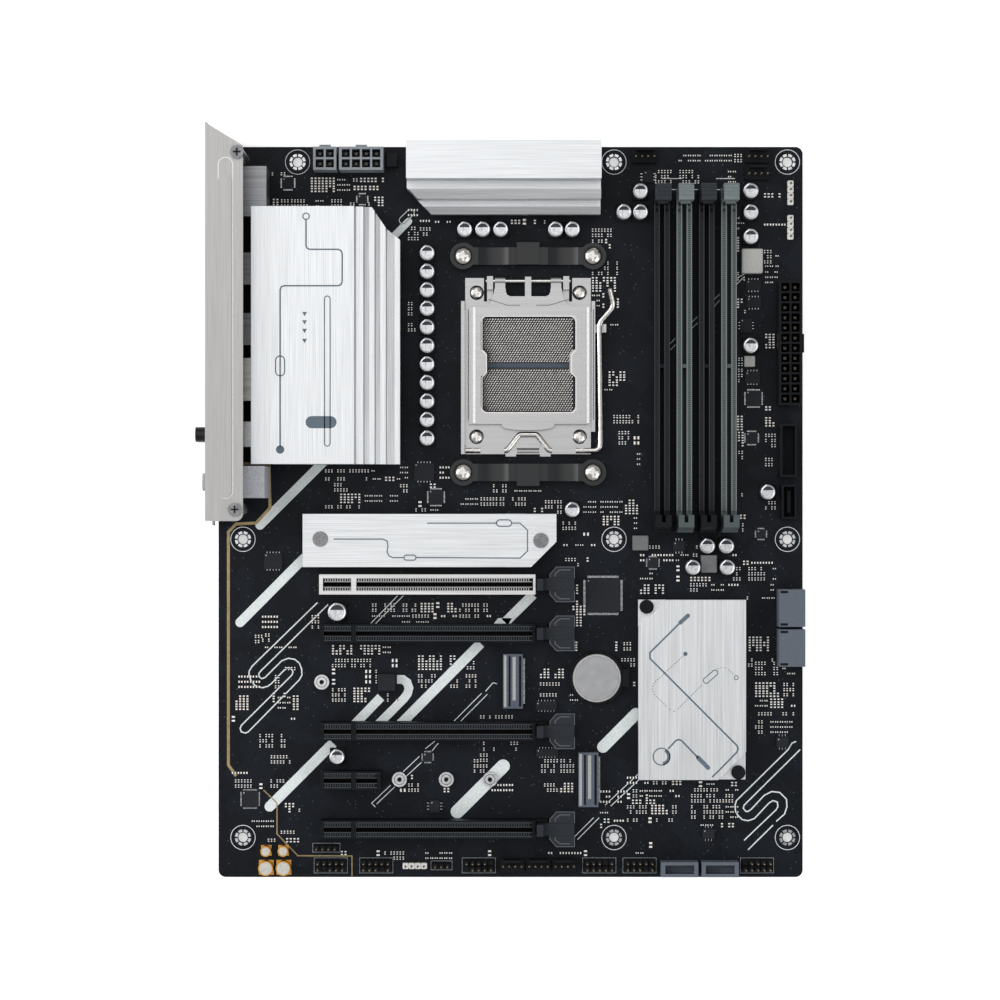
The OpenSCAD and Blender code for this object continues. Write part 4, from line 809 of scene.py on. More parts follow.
# The processor's contacts: flat leaves with one end bent up, in staggered rows
contact_dx, contact_dy = 1.1, 0.92
spring_contact = shape_block(0.72, 0.34, 0.16, 0.0)
bpy.ops.object.mode_set(mode="EDIT")
contact_edit = bmesh.from_edit_mesh(spring_contact.data)
for vert in contact_edit.verts:
    vert.select = vert.co.x > 0 and vert.co.z > 0.0001
bmesh.update_edit_mesh(spring_contact.data)
contact_edit.select_flush_mode()
for vert in contact_edit.verts:
    if vert.select:
        vert.co.z += 0.00022
bmesh.update_edit_mesh(spring_contact.data)
bpy.ops.object.mode_set(mode="OBJECT")
worn_gold = make_material(
    "worn_gold", grain_group, (222, 218, 214), (244, 241, 238), 900, 0.26, 0.4, 0.1, 1.0)
spring_contact.data.materials.append(worn_gold)
contact_spots = []
for x, y, z, w, l, h in solids_in("cpu_contacts"):
    for i in range(int(w / contact_dx)):
        for j in range(int(l / contact_dy)):
            shift = i * contact_dx + (contact_dx / 2 if j % 2 else 0.0)
            if shift + 0.9 < w:
                contact_spots.append((x + 0.7 + shift, y + 0.6 + j * contact_dy, z + h, 38))
lay_out("spring_contacts", spring_contact, contact_spots)

# ---------- memory slots ----------
# Long black and grey housings in turn, with two rows of sprung contacts in the groove.
# Each has a fixed tower at one end and a ribbed latch on a pin at the other.

memory_slot_w = 6.4
dimm_low, dimm_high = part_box("dimm_slots")
slot_pitch = (dimm_high.x - dimm_low.x - memory_slot_w * MM) / 3
two_tone = make_material("two_tone_plastic", grain_group, (14, 15, 18), (22, 24, 27), 2200, 0.42, 0.6, 0.25)
tone_tree = two_tone.node_tree
tone_place = tone_tree.nodes.new("ShaderNodeTexCoord")
tone_split = tone_tree.nodes.new("ShaderNodeSeparateXYZ")
tone_count = tone_tree.nodes.new("ShaderNodeMapRange")
tone_count.clamp = False
tone_count.inputs["From Min"].default_value = dimm_low.x - 0.001
tone_count.inputs["From Max"].default_value = dimm_low.x - 0.001 + 2 * slot_pitch
tone_fraction = tone_tree.nodes.new("ShaderNodeMath")
tone_fraction.operation = "FRACT"
tone_even = tone_tree.nodes.new("ShaderNodeMath")
tone_even.operation = "GREATER_THAN"
tone_even.inputs[1].default_value = 0.5
tone_mix = tone_tree.nodes.new("ShaderNodeMix")
tone_mix.data_type = "RGBA"
tone_mix.inputs["B"].default_value = tone(74, 81, 82)
tone_surface = next(n for n in tone_tree.nodes if n.type == "GROUP")
tone_tree.links.new(tone_place.outputs["Object"], tone_split.inputs["Vector"])
tone_tree.links.new(tone_split.outputs["X"], tone_count.inputs["Value"])
tone_tree.links.new(tone_count.outputs["Result"], tone_fraction.inputs[0])
tone_tree.links.new(tone_fraction.outputs["Value"], tone_even.inputs[0])
tone_tree.links.new(tone_even.outputs["Value"], tone_mix.inputs["Factor"])
tone_tree.links.new(tone_surface.outputs["Colour"], tone_mix.inputs["A"])
tone_tree.links.new(tone_mix.outputs["Result"], tone_tree.nodes["Principled BSDF"].inputs["Base Color"])
coat_node("dimm_slots", two_tone)
dark_latch = make_material("dark_latch", grain_group, (40, 43, 47), (54, 58, 62), 2200, 0.42, 0.6, 0.25)
for k in (1, 3):
    coat_node(f"dimm_latch_{k}", dark_latch)
for k in (2, 4):
    coat_node(f"dimm_latch_{k}", grey_plastic)
# The contacts sit deep in the groove, and their gold is darkened to a painted shade
memory_contact = shape_block(0.3, 0.42, 1.6)
gold_in_painted_shade = make_material("gold_in_painted_shade", grain_group, (34, 29, 22), (48, 41, 31), 900, 0.4, 0.55, 0.1, 0.6)
memory_contact.data.materials.append(gold_in_painted_shade)
slot_solids = solids_in("dimm_slots")
memory_pitch = 0.85
memory_key_y = 213
rail_floor = 8.6
rib_rows = {"dark": (0, 2), "light": (1, 3)}
memory_spots = []
for x, y, z, w, l, h in slot_solids:
    for i in range(144):
        place = 153.6 + i * memory_pitch
        if abs(place - memory_key_y) > 1.6:
            memory_spots += [(x + w / 2 + side * 0.67, place, 3.0, 0) for side in (-1, 1)]
lay_out("memory_contacts", memory_contact, memory_spots)

# The small ribs and the thin rims on the slots' long sides
light_rib = make_material("light_rib", grain_group, (108, 115, 116), (128, 134, 135), 2200, 0.42, 0.6, 0.2)
dark_rib = make_material("dark_rib", grain_group, (50, 54, 58), (62, 66, 71), 2200, 0.42, 0.6, 0.2)
for shade, coat in (("dark", dark_rib), ("light", light_rib)):
    memory_rib = shape_block(0.88, 0.3, 0.78)
    memory_rib.data.materials.append(coat)
    rib_spots, rims = [], []
    for x, y, z, w, l, h in [slot_solids[k] for k in rib_rows[shade]]:
        middle = x + w / 2
        for i in range(146):
            rib_spots += [(middle + side * 2.1, 153.2 + i * memory_pitch, rail_floor, 0) for side in (-1, 1)]
        for rim_x in (middle - 1.2, middle - 3.0, middle + 1.2, middle + 3.0):
            rims.append(([(rim_x, y + 9), (rim_x, y + 136)], 0.3))
    lay_out(f"{shade}_memory_ribs", memory_rib, rib_spots)
    print_strips(f"{shade}_memory_rims", rims, rail_floor + 0.8, 0.02, coat)

# ---------- card slots ----------
# Black moulded housings with two rows of contacts, soldered through the board.
# Each long one has a hinged clip at its far end.
# The first one wears a bright steel wrap, and its ribs are pale.

coat_node("pcie_slots", black_plastic)
armour_steel = make_material(
    "armour_steel", brush_group, (186, 185, 184), (214, 213, 212), 1300, 0.24, 0.38, 0.2, 1.0, GRAIN_ALONG_X)
coat_node("pcie_slot_armour", armour_steel)
clip_plastic = make_material("clip_plastic", grain_group, (34, 37, 42), (46, 49, 54), 2200, 0.36, 0.5, 0.2)
clip_edge = make_material("clip_edge", grain_group, (84, 89, 95), (102, 107, 113), 2200, 0.42, 0.6, 0.1)
clip_wing_top = 9.4
# Lines on half of a clip, as distances in from its far end and out from its middle
wing_line = [(10.4, 2.6), (10.4, 4.1), (7.7, 7.2), (0.2, 7.2), (0.2, 2.6)]
wing_groove = [(8.2, 3.2), (8.2, 4.4), (6.2, 6), (2, 6)]
for k in (1, 2, 3, 4):
    coat_node(f"pcie_clip_{k}", clip_plastic)
    (clip_x, clip_y, _, clip_w, clip_l, _), = solids_in(f"pcie_clip_{k}")
    far_x, clip_middle = clip_x + clip_w, clip_y + clip_l / 2
    clip_lines = []
    for side in (-1, 1):
        for line, width in ((wing_line, 0.22), (wing_groove, 0.3)):
            clip_lines.append(([(far_x - back, clip_middle + side * out) for back, out in line], width))
    print_strips(
        f"clip_{k}_edges", clip_lines, clip_wing_top, 0.02, clip_edge, f"pcie_clip_{k}")

card_pitch = 1.02
key_gap = 1.6
contacts_before_key = 11
long_slot_w = 89.2
card_spots, rib_spots, pale_spots, pale_rails, slot_rims = [], [], [], [], []
card_solids = solids_in("pcie_slots")
armoured_y = max(solid[1] for solid in card_solids)
for x, y, z, w, l, h in card_solids:
    armoured = y == armoured_y
    middle = y + l / 2
    far_end = x + min(w, long_slot_w)
    rail_line = pale_rails if armoured else slot_rims
    for side in (-1, 1):
        for start, end in ((x + 1.6, x + 12.8), (x + 15.1, far_end - 1.5)):
            for out in ((1.15, 2.62) if armoured else (1.15, 2.85)):
                rail_line.append(([(start, middle + side * out), (end, middle + side * out)], 0.32))
    for i in range(82):
        along = x + 2.2 + i * card_pitch + (key_gap if i >= contacts_before_key else 0)
        if along < far_end - 2:
            card_spots += [(along, middle + side * 0.72, 2.6, 0) for side in (-1, 1)]
            ribs = pale_spots if armoured else rib_spots
            ribs.extend((along, middle + side * 2.0, h - 0.7, 0) for side in (-1, 1))
card_top = card_solids[0][5]
# Painted shade: the card contacts take the same darkened gold
card_contact = shape_block(0.45, 0.25, 1.4)
card_contact.data.materials.append(gold_in_painted_shade)
lay_out("card_contacts", card_contact, card_spots)
rib_plastic = make_material("rib_plastic", grain_group, (52, 57, 62), (70, 76, 82), 2200, 0.42, 0.6, 0.2)
card_rib = shape_block(0.42, 1.08, 0.66, 0.08)
card_rib.data.materials.append(rib_plastic)
lay_out("card_slot_ribs", card_rib, rib_spots)
print_strips("card_slot_rims", slot_rims, card_top, 0.02, rib_plastic)
pale_resin = make_material("pale_resin", grain_group, (150, 151, 152), (176, 177, 178), 2200, 0.42, 0.6, 0.2)
pale_rib = shape_block(0.4, 1.08, 0.7)
pale_rib.data.materials.append(pale_resin)
lay_out("armoured_slot_ribs", pale_rib, pale_spots)
print_strips("armoured_slot_rims", pale_rails, card_top, 0.02, pale_resin)

# ---------- drive sockets, covers and posts ----------
# Low edge sockets for drive cards, a brushed aluminium cover over the first, and plated posts.

plate_grey = make_material(
    "plate_grey", grain_group, (150, 150, 148), (172, 172, 170), 2200, 0.4, 0.5, 0.1, 0.6)
drive_resin = make_material("drive_resin", grain_group, (72, 79, 90), (90, 97, 108), 2200, 0.42, 0.58, 0.25)
coat_node("m2_sockets", drive_resin)
coat_node("m2_heatsink", brushed_cross)
coat_node("m2_heatsink_screws", dark_screw)
coat_node("m2_thermal_pad", soft_pad)
coat_node("threaded_standoffs", bright_tin)
# Painted shade: a dark disc on each post's top stands for its threaded bore, and a thin dark ring of painted
# shade is drawn round it
hollow_shade = make_material("hollow_shade", grain_group, (10, 10, 11), (18, 18, 20), 900, 0.5, 0.7, 0.05)
bore_shade_disc = shape_disc(0.85, 0.02, 20)
bore_shade_disc.data.materials.append(hollow_shade)
posts = [(x + w / 2, y + l / 2, z + h)
         for x, y, z, w, l, h in solids_in("threaded_standoffs") if z + h > 1 and w < 8]
lay_out("post_bore_shade", bore_shade_disc, [(*post, 0) for post in posts])
for k, (x, y, post_top) in enumerate(posts):
    print_strips(f"post_ring_{k + 1}", [ring(x, y, 2.1, 0.22)], post_top, 0.02, hollow_shade)

# Feet, a pale lip, grooves drawn as dark strips of painted shade, and a ridge on each low drive socket
drive_sockets = solids_in("m2_sockets")
drive_pitch = 0.5
drive_pin = shape_block(1.1, 0.26, 0.2)
drive_pin.data.materials.append(bright_tin)
drive_pins, lip_strips, groove_shade_strips, ridge_strips = [], [], [], []
for x, y, z, w, l, h in drive_sockets:
    drive_pins += [(x + w + 0.3, y + 2 + i * drive_pitch, 0, 0) for i in range(38)]
    lip_strips.append(([(x + 0.9, y + 0.6), (x + 0.9, y + l - 0.6)], 1.1))
    for share, width in ((0.33, 0.8), (0.86, 1.0)):
        groove_shade_strips.append(([(x + w * share, y + 0.9), (x + w * share, y + l - 0.9)], width))
    ridge_strips.append(([(x + w * 0.56, y + 3.4), (x + w * 0.56, y + l - 1.2)], 1.3))
drive_socket_top = drive_sockets[0][5]
lay_out("drive_socket_feet", drive_pin, drive_pins)
socket_details = {
    "lips": (lip_strips, plate_grey), "groove_shade": (groove_shade_strips, hollow_shade),
    "ridges": (ridge_strips, plate_grey)}
for detail, (strips, coat) in socket_details.items():
    print_strips(f"drive_socket_{detail}", strips, drive_socket_top, 0.03, coat)

cover_line = [
    (48.5, 141.2), (69, 141.2), (70.7, 140.4), (71.1, 138.3), (70.7, 135.8), (71.5, 134.2), (73.2, 133.5),
    (77.7, 133.5)]
cover_art = [
    (cover_line, 0.5),
    ([(82.7, 133.5), (125.8, 133.3), (128.9, 136.2), (128.9, 144.9), (125.8, 147.8), (122.5, 147.8)], 0.5),
    ([(116.3, 147.8), (87.3, 147.8)], 0.5),
    capsule(80.2, 133.5, 5, 2.1, 0.5), capsule(119.2, 147.8, 6.2, 2.7, 0.5)]
print_strips("drive_cover_lines", cover_art, top_of("m2_heatsink"), print_t, slate_print,
             "drive_cover")

# ---------- chipset heatsink ----------
# A brushed aluminium plate with two cut corners, held by two sprung plastic push pins.
# Its face carries printed slate lines, pills, a ring and dashed lines.

coat_node("chipset_heatsink", brushed_long)
coat_node("chipset_push_pins", black_plastic)
chipset_top = top_of("chipset_heatsink")
long_line = [
    (191.9, 106), (179.8, 94), (179.8, 91.6), (215.9, 55.4), (216.4, 54.1), (215.9, 52.7), (208.4, 45),
    (205.6, 42.3)]
short_line = [(199.8, 50.3), (193.1, 57.3), (191.9, 57.9), (190.6, 57.5), (187.3, 54)]
dashed_lines = [
    [(194.5, 93.5), (181.5, 81.4), (180.6, 79.1), (181.5, 76.8), (187.7, 70.6), (189.6, 69.5), (191.4, 70.6),
     (202.2, 81.4)],
    [(207.8, 87.2), (209.1, 87.8), (210.8, 87.9), (212.4, 87), (215, 84.5)]]
dash_step = 1.1
chipset_art = [(long_line, 0.7), (short_line, 0.7)]
for path in dashed_lines:
    for start, end in zip(path, path[1:]):
        reach = math.dist(start, end)
        for k in range(int(reach / dash_step)):
            shares = (k * dash_step / reach, (k + 0.5) * dash_step / reach)
            dash = [tuple(a + (b - a) * share for a, b in zip(start, end)) for share in shares]
            chipset_art.append((dash, 0.32))
chipset_art += [
    ring(184.6, 50.8, 3.5, 0.5), (arc(184.6, 50.8, 3.0, -80, 60), 1.3), ring(215.6, 83.6, 0.85, 0.35, 20),
    (pill([(203.1, 82.4), (206.8, 85.6)], 2.3), 0.4, True)]
chipset_fills = [
    pill([(192.4, 106.5), (195.6, 109.4)], 1.7), pill([(199.8, 50.4), (203.9, 46.2)], 1.8),
    disc(194.5, 93.5, 0.9)]
print_plates("chipset_pills", chipset_fills, chipset_top, print_t, slate_print)
print_strips("chipset_lines", chipset_art, chipset_top, print_t, slate_print)

# ---------- chips ----------
# Black epoxy packages soldered flat to the board, with a grey dot at the first leg.
# Tinned legs stand along two or four of their edges, but not on the wide one under the chipset's heatsink.

coat_node("integrated_circuits", chip_epoxy)
gull_leg = shape_block(0.9, 0.22, 0.15)
bpy.ops.object.mode_set(mode="EDIT")
leg_edit = bmesh.from_edit_mesh(gull_leg.data)
for face in leg_edit.faces:
    face.select = face.normal.x < -0.9
bmesh.update_edit_mesh(gull_leg.data)
bpy.ops.mesh.extrude_region_move(TRANSFORM_OT_translate={"value": (-0.00015, 0, 0.0005)})
bpy.ops.mesh.extrude_region_move(TRANSFORM_OT_translate={"value": (-0.0003, 0, 0)})
bpy.ops.object.mode_set(mode="OBJECT")
gull_leg.data.materials.append(bright_tin)
legless_w = 20
leg_pitch, fine_leg_pitch = 1.27, 0.5
leg_spots, dot_spots = [], []
for x, y, z, w, l, h in solids_in("integrated_circuits"):
    if w > legless_w:
        continue
    square = abs(w - l) < 0.6
    pitch = fine_leg_pitch if w > 12 or square else leg_pitch
    sides = (0, 90, 180, 270) if square else ((0, 180) if l > w else (90, 270))
    for turn in sides:
        across, run = (w, l) if turn in (0, 180) else (l, w)
        count = max(2, int((run - 0.9) / pitch))
        for i in range(count):
            offset = (i - (count - 1) / 2) * pitch
            reach = across / 2 + (0.75 if h > 1.2 else 0.12)
            c, s = math.cos(math.radians(turn)), math.sin(math.radians(turn))
            leg_x, leg_y = x + w / 2 + c * reach - s * offset, y + l / 2 + s * reach + c * offset
            leg_spots.append((leg_x, leg_y, 0, turn))
    dot_spots.append((x + 0.9, y + l - 0.9, h, 0))
lay_out("chip_legs", gull_leg, leg_spots)
dot_shape = shape_disc(0.3, 0.03, 12)
dot_shape.data.materials.append(grey_ink)
lay_out("chip_dots", dot_shape, dot_spots)

# ---------- power sockets ----------
# Moulded nylon housings, soldered through the board, with one square cell for each plated terminal.
# The main one is black, and the processor's two are pale slate.

slate_plastic = make_material(
    "slate_plastic", grain_group, (80, 87, 97), (96, 103, 113), 2200, 0.42, 0.58, 0.25)
coat_node("atx_power_socket", black_plastic)
pale_slate = make_material(
    "pale_slate", grain_group, (122, 127, 132), (142, 147, 152), 2200, 0.42, 0.58, 0.25)
coat_node("cpu_power_sockets", pale_slate)
dull_pin = make_material("dull_pin", grain_group, (70, 68, 62), (96, 92, 84), 900, 0.4, 0.55, 0.1, 0.8)
coat_node("power_pins", dull_pin)

# ---------- pin headers ----------
# Gold-plated square posts pressed into low plastic strips and soldered through the board.
# The strips are black, but for three four-post ones for lights, which are white.

white_plastic = make_material(
    "white_plastic", grain_group, (206, 206, 202), (228, 228, 224), 2200, 0.4, 0.55, 0.2)
coat_node("fan_headers", black_plastic)
coat_node("front_usb_headers", black_plastic)
post_shape = shape_block(0.64, 0.64, 8.4, 0.12)
post_gold = make_material("post_gold", grain_group, (104, 94, 76), (136, 123, 100), 900, 0.4, 0.55, 0.1, 0.7)
post_shape.data.materials.append(post_gold)
pin_pitch = 2.54
post_spots = []
base_shapes = {"black": [], "white": []}
for x, y, z, w, l, h in solids_in("pin_headers"):
    count, rows = round(max(w, l) / pin_pitch), (2 if min(w, l) > 4 else 1)
    for i in range(count):
        for j in range(rows):
            if rows == 2 and (i * 7 + j * 5 + round(x)) % 11 == 3:
                continue
            a, b = (i + 0.5) * pin_pitch, (j + 0.5) * pin_pitch
            post_spots.append((x + (a if w >= l else b), y + (b if w >= l else a), 0, 0))
    is_white = rows == 1 and count == 4 and (x > 230 or 70 < x < 85)
    base_shapes["white" if is_white else "black"].append((x, y, w, l))
for x, y, z, w, l, h in solids_in("fan_headers"):
    post_spots += [(x + 1.3 + i * pin_pitch, y + (2.2 if y > 100 else 3.0), 0, 0) for i in range(4)]
lay_out("header_posts", post_shape, post_spots)
for shade, coat in (("black", black_plastic), ("white", white_plastic)):
    cell = shape_block(2.5, 2.5, 2.5, 0.3)
    cell.data.materials.append(coat)
    cells = []
    for x, y, w, l in base_shapes[shade]:
        across, deep = round(w / pin_pitch), round(l / pin_pitch)
        for i in range(across):
            cells += [(x + (i + 0.5) * w / across, y + (j + 0.5) * l / deep, 0, 0) for j in range(deep)]
    base_piece = lay_out(f"{shade}_header_bases", cell, cells)
    if shade == "black":
        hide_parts("pin_headers")
mark_gap = 0.6
header_marks = [(rectangle(x - mark_gap, y - mark_gap, w + 2 * mark_gap, l + 2 * mark_gap), 0.15, True)
                for x, y, w, l in base_shapes["black"]]
print_strips("header_outlines", header_marks, 0, ink_t, grey_ink)

# ---------- drive ports ----------
# Slate-coloured plastic blocks with a slot for each plug, soldered through the board.
# Two face the edge, and two stand upright; those at the edge have two notches each, drawn as dark plates of
# painted shade.

coat_node("sata_ports", slate_plastic)
edge_ports = [solid for solid in solids_in("sata_ports") if solid[0] > 230 and solid[4] < 20]
notches = []
for x, y, z, w, l, h in edge_ports:
    notches += [rectangle(x + 0.5, low, 3.1, 1) for low in (y + 0.5, y + l - 1.5)]
port_top = edge_ports[0][2] + edge_ports[0][5]
print_plates("drive_port_notch_shade", notches, port_top, 0.02, hollow_shade)

# ---------- coin cell ----------
# A round stainless cell snapped into a black plastic holder, which is soldered to the board.
# The cell's top face has a fine line just inside its rim.

cell_steel = make_material(
    "cell_steel", grain_group, (154, 155, 156), (166, 166, 168), 300, 0.3, 0.45, 0.15, 1.0)
coat_node("coin_cell", cell_steel)
coat_node("battery_holder", black_plastic)
(cell_x, cell_y, cell_z, cell_w, cell_l, cell_h), = solids_in("coin_cell")
cell_step = ring(cell_x + cell_w / 2, cell_y + cell_l / 2, cell_w / 2 - 0.5, 0.3, 48)
print_strips("coin_cell_step", [cell_step], cell_z + cell_h, 0.02, screw_plate, "coin_cell")

# ---------- solder side ----------
# The pins of the sockets, slots and ports come through the board, cut short.
# Each one ends in a small shiny cone of solder.

coat_node("solder_tails", bright_tin)
solder_cone = shape_disc(0.75, 1.1, 8, z=-1.1, top_r=0.75)
bpy.ops.object.mode_set(mode="EDIT")
cone_edit = bmesh.from_edit_mesh(solder_cone.data)
for vert in cone_edit.verts:
    if vert.co.z < -0.0005:
        vert.co.x *= 0.45
        vert.co.y *= 0.45
bmesh.update_edit_mesh(solder_cone.data)
bpy.ops.object.mode_set(mode="OBJECT")
solder_cone.data.materials.append(bright_tin)
cone_spots = []
cone_spots += [(x + w / 2, y + l / 2, -board_t, 0) for x, y, z, w, l, h in solids_in("power_pins")]
cone_spots += [(x, y, -board_t, 0) for x, y, z, turn in post_spots]
for x, y, z, w, l, h in slot_solids:
    for i in range(72):
        cone_spots += [(x + w / 2 + side * 1.9, 154 + i * 1.7 + side * 0.4, -board_t, 0) for side in (-1, 1)]
for x, y, z, w, l, h in solids_in("pcie_slots"):
    for i in range(int((min(w, long_slot_w) - 6) / 2)):
        cone_spots += [(x + 3 + i * 2 + side * 0.5, y + l / 2 + side * 2, -board_t, 0) for side in (-1, 1)]
for port_y in (158, 166, 181, 188, 200, 206, 212, 223, 231, 248, 256, 276, 284, 292):
    cone_spots += [(4 + 2 * i, port_y, -board_t, 0) for i in range(6)]
lay_out("solder_cones", solder_cone, cone_spots)

# ---------- surface-mounted parts ----------
# Hundreds of ceramic capacitors and chip resistors with tinned ends, in groups around what they serve,
# and the plated vias between copper layers.

ceramic = make_material("ceramic", grain_group, (84, 70, 58), (112, 95, 80), 2600, 0.45, 0.6, 0.15)
resistor_coat = make_material("resistor_coat", grain_group, (22, 23, 25), (40, 41, 44), 2600, 0.35, 0.5, 0.15)
via_copper = make_material("via_copper", grain_group, (50, 56, 64), (70, 77, 85), 2000, 0.35, 0.5, 0.1)

cover_mesh = bmesh.new()
for node_name, node in nodes.items():
    if node_name not in ("pcb", "solder_tails", "socket_backplate"):
        cover_mesh.from_mesh(node.data)
covers = BVHTree.FromBMesh(cover_mesh)
cover_mesh.free()


def is_clear(x, y, half_w, half_l):
    """True where the board's top is bare under a small part's corners and centre."""
    if not (1.5 + half_w < x < board_w - 1.5 - half_w and 1.5 + half_l < y < board_l - 1.5 - half_l):
        return False
    if any(math.hypot(x - hx, y - hy) < 5.6 + half_w for hx, hy in hole_points):
        return False
    for dx in (-half_w, 0, half_w):
        for dy in (-half_l, 0, half_l):
            if covers.ray_cast(on_board(x + dx, y + dy, 60), Vector((0, 0, -1)), 0.0605)[0] is not None:
                return False
    return True


def off_bars(x, y):
    """True away from the printed bars."""
    for line in bar_lines:
        (x0, y0), (x1, y1) = line[0]
        share = ((x - x0) * (x1 - x0) + (y - y0) * (y1 - y0)) / ((x1 - x0) ** 2 + (y1 - y0) ** 2)
        along = max(0, min(1, share))
        if math.hypot(x - x0 - along * (x1 - x0), y - y0 - along * (y1 - y0)) < line[1] / 2 + 0.9:
            return False
    return x > 6 or y > 128


def shape_chip_part(l, w, h, coat):
    """A small chip part along x: a body between two tinned ends."""
    body = shape_block(l * 0.42, w * 0.92, h * 0.94)
    ends = [shape_block(l * 0.3, w, h, x=side * l * 0.35) for side in (-1, 1)]
    return weld([body] + ends, [coat, solder_white, solder_white])


solder_white = make_material(
    "solder_white", grain_group, (214, 213, 210), (240, 239, 236), 2400, 0.35, 0.5, 0.15, 0.35)
# Groups as lowest corner, width, length and how full the group is
groups = [
    (15.7, 280.1, 39.2, 16.7, 0.85), (54.9, 277.6, 15, 14.2, 0.7), (182.2, 290.2, 37.6, 13.4, 0.55),
    (227.7, 256.8, 12.9, 30.1, 0.5), (44.5, 152.4, 31.3, 17.5, 0.5), (64.1, 106.5, 49.3, 7.9, 0.8),
    (47.4, 73.9, 28.4, 23, 0.75), (83.3, 79.7, 24.2, 15.9, 0.9), (144.7, 98.9, 10.4, 33.4, 0.55),
    (170.5, 23.8, 22.5, 16.7, 0.8), (197.3, 21.7, 19.2, 18.8, 0.8), (224, 60.5, 17.1, 26.7, 0.85),
    (196.9, 116.5, 35.5, 15.9, 0.7), (109.2, 48.8, 16.7, 25, 0.3), (5.6, 15.4, 28.4, 58.4, 0.35),
    (34, 7.9, 167, 5.4, 0.4), (211.9, 144.9, 7.9, 141.9, 0.5), (228.2, 144.9, 5, 111.9, 0.4),
    (79.1, 228.4, 5, 48, 0.5), (75.8, 151.1, 66.8, 18.8, 0.4), (136.3, 138.6, 39.7, 16.7, 0.4),
    (176, 113.6, 39.7, 25, 0.4), (134.2, 73.9, 41.8, 25, 0.35), (18.2, 98.9, 24.2, 20.9, 0.25),
    (90.4, 273.5, 58.4, 7.1, 0.5), (155.9, 228.4, 10.9, 48, 0.35), (75.8, 36.3, 83.5, 12.5, 0.3),
    (219.8, 88.5, 21.7, 25, 0.4), (159.3, 11.3, 25, 25, 0.4), (2.7, 73.9, 31.3, 25, 0.2),
    (84.1, 228.4, 5, 48, 0.5), (157.2, 169.9, 18.8, 58.4, 0.3)]
dice = random.Random(7)
taken = []
row_step = 2.15
kinds = {"small": (1.25, 0.55, 0.35), "middle": (1.7, 0.8, 0.5), "large": (2.3, 1.3, 0.9)}
part_spots = {(kind, coat): [] for kind in kinds for coat in ("ceramic", "resistor")}
for group_x, group_y, group_w, group_l, fullness in groups:
    bank_y = group_y
    while bank_y < group_y + group_l:
        rows = dice.choice((1, 2, 2, 3))
        bank_x = group_x
        while bank_x < group_x + group_w:
            kind = dice.choices(["small", "middle", "large"], [0.62, 0.3, 0.08])[0]
            coat = dice.choice(("ceramic", "resistor", "resistor"))
            length, width = kinds[kind][:2]
            standing = dice.random() < 0.7
            half_w, half_l = (width / 2, length / 2) if standing else (length / 2, width / 2)
            column_step = 2 * half_w + 0.72
            columns = dice.randint(2, 7) if kind != "large" else 1
            if dice.random() < fullness + 0.1:
                for i in range(columns):
                    for j in range(rows):
                        x, y = bank_x + half_w + i * column_step, bank_y + j * row_step
                        if x > group_x + group_w or dice.random() > 0.84 or not off_bars(x, y):
                            continue
                        if not is_clear(x, y, half_w + 0.35, half_l + 0.3):
                            continue
                        if not any(abs(x - tx) < half_w + tw + 0.2 and abs(y - ty) < half_l + tl + 0.2
                                   for tx, ty, tw, tl in taken):
                            taken.append((x, y, half_w, half_l))
                            part_spots[kind, coat].append((x, y, 0, 90 if standing else 0))
            bank_x += columns * column_step + dice.choice((0.4, 1.2, 2.6))
        bank_y += rows * row_step + dice.choice((0.3, 1.2, 2.4))
for (kind, coat), spots in part_spots.items():
    if spots:
        shape = shape_chip_part(*kinds[kind], ceramic if coat == "ceramic" else resistor_coat)
        lay_out(f"{kind}_{coat}_parts", shape, spots)
via_spots = []
for _ in range(1500):
    x, y = dice.uniform(2, board_w - 2), dice.uniform(2, board_l - 2)
    under_part = any(abs(x - tx) < tw + 0.4 and abs(y - ty) < tl + 0.4 for tx, ty, tw, tl in taken)
    if is_clear(x, y, 0.3, 0.3) and not under_part:
        via_spots.append((x, y, 0, 0))
via_shape = shape_disc(0.27, 0.02, 8)
via_shape.data.materials.append(via_copper)
lay_out("vias", via_shape, via_spots)

# ---------- camera, floor and light ----------
# A camera straight above the board, and a pale floor just under its backplate.
# The soft light comes from three large panels and an even white surround.

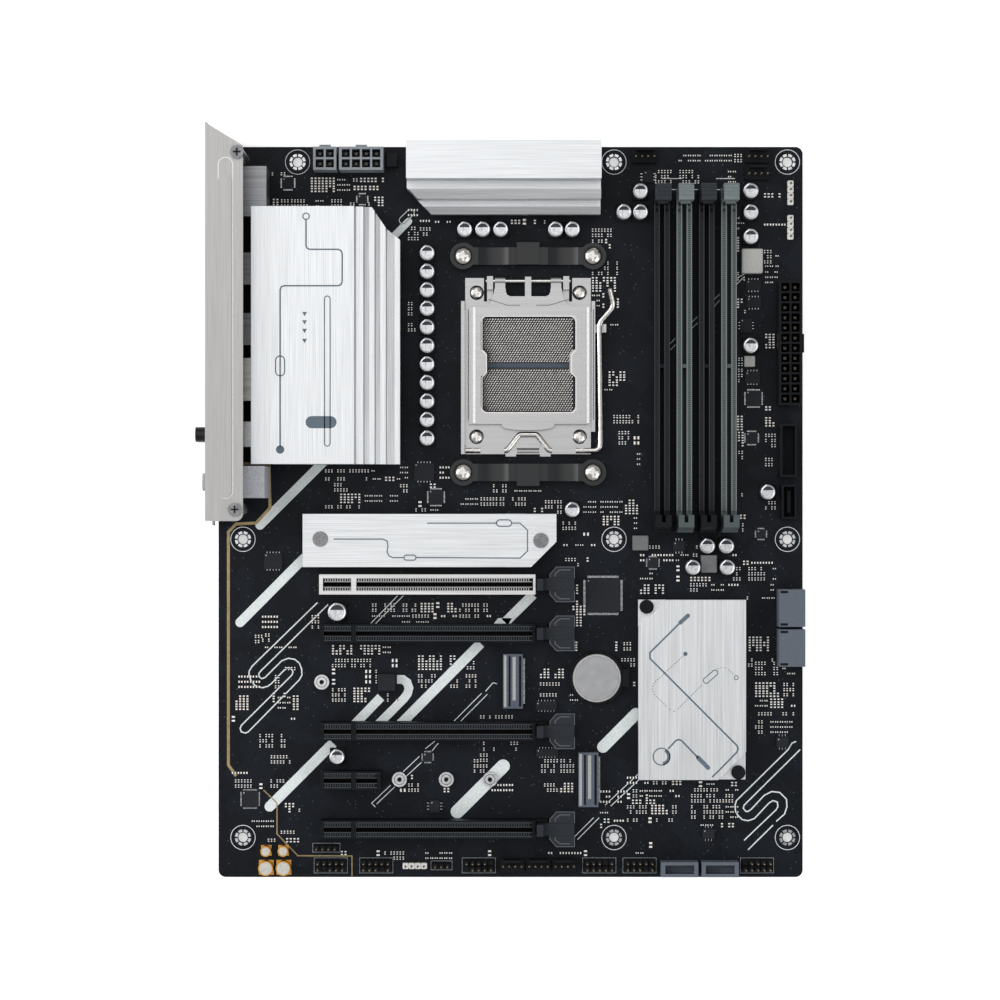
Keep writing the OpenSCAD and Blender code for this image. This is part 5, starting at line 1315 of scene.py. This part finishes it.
camera_height = 1400
camera_point = (119.6, 155.3)
view_centre = (117.5, 157.4)
view_width = 417.5
sensor_width = 36
camera_data = bpy.data.cameras.new("camera")
camera_data.sensor_width = sensor_width
camera_data.lens = sensor_width * camera_height / view_width
camera_data.shift_x = (view_centre[0] - camera_point[0]) / view_width
camera_data.shift_y = (view_centre[1] - camera_point[1]) / view_width
camera_data.clip_start = 0.05
camera_data.clip_end = 20
camera = bpy.data.objects.new("camera", camera_data)
camera.location = on_board(camera_point[0], camera_point[1], camera_height)
bpy.context.scene.collection.objects.link(camera)
bpy.context.scene.camera = camera

floor_finish = bpy.data.materials.new("floor_finish")
floor_finish.use_nodes = True
floor_shader = floor_finish.node_tree.nodes["Principled BSDF"]
floor_shader.inputs["Base Color"].default_value = (0.9, 0.9, 0.9, 1)
floor_shader.inputs["Roughness"].default_value = 0.8
floor_shader.inputs["Emission Color"].default_value = (1, 1, 1, 1)
floor_shader.inputs["Emission Strength"].default_value = 0.45
deselect()
floor_place = (board_low.x + 0.12, board_low.y + 0.15, cad_low.z - 0.0005)
bpy.ops.mesh.primitive_plane_add(size=8, location=floor_place)
floor = bpy.context.object
floor.name = "floor"
floor.data.materials.append(floor_finish)


def add_panel_light(name, place, aim, size, power):
    """A square soft light that faces a point."""
    data = bpy.data.lights.new(name, "AREA")
    data.size = size
    data.energy = power
    light = bpy.data.objects.new(name, data)
    light.location = place
    light.rotation_euler = (Vector(aim) - Vector(place)).to_track_quat("-Z", "Y").to_euler()
    light.visible_camera = False
    bpy.context.scene.collection.objects.link(light)


middle = on_board(board_w / 2, board_l / 2)
add_panel_light("overhead_panel", middle + Vector((-0.35, 0.5, 1.7)), middle, 1.6, 9)
add_panel_light("left_panel", middle + Vector((-1.5, 0.2, 1.0)), middle, 1.2, 20)
add_panel_light("right_panel", middle + Vector((1.3, -0.9, 1.3)), middle, 1.2, 14)
world = bpy.data.worlds.new("studio")
world.use_nodes = True
sky = world.node_tree.nodes["Background"]
sky.inputs["Color"].default_value = (1, 1, 1, 1)
sky.inputs["Strength"].default_value = 0.5
bpy.context.scene.world = world
bpy.context.scene.view_settings.view_transform = "Standard"
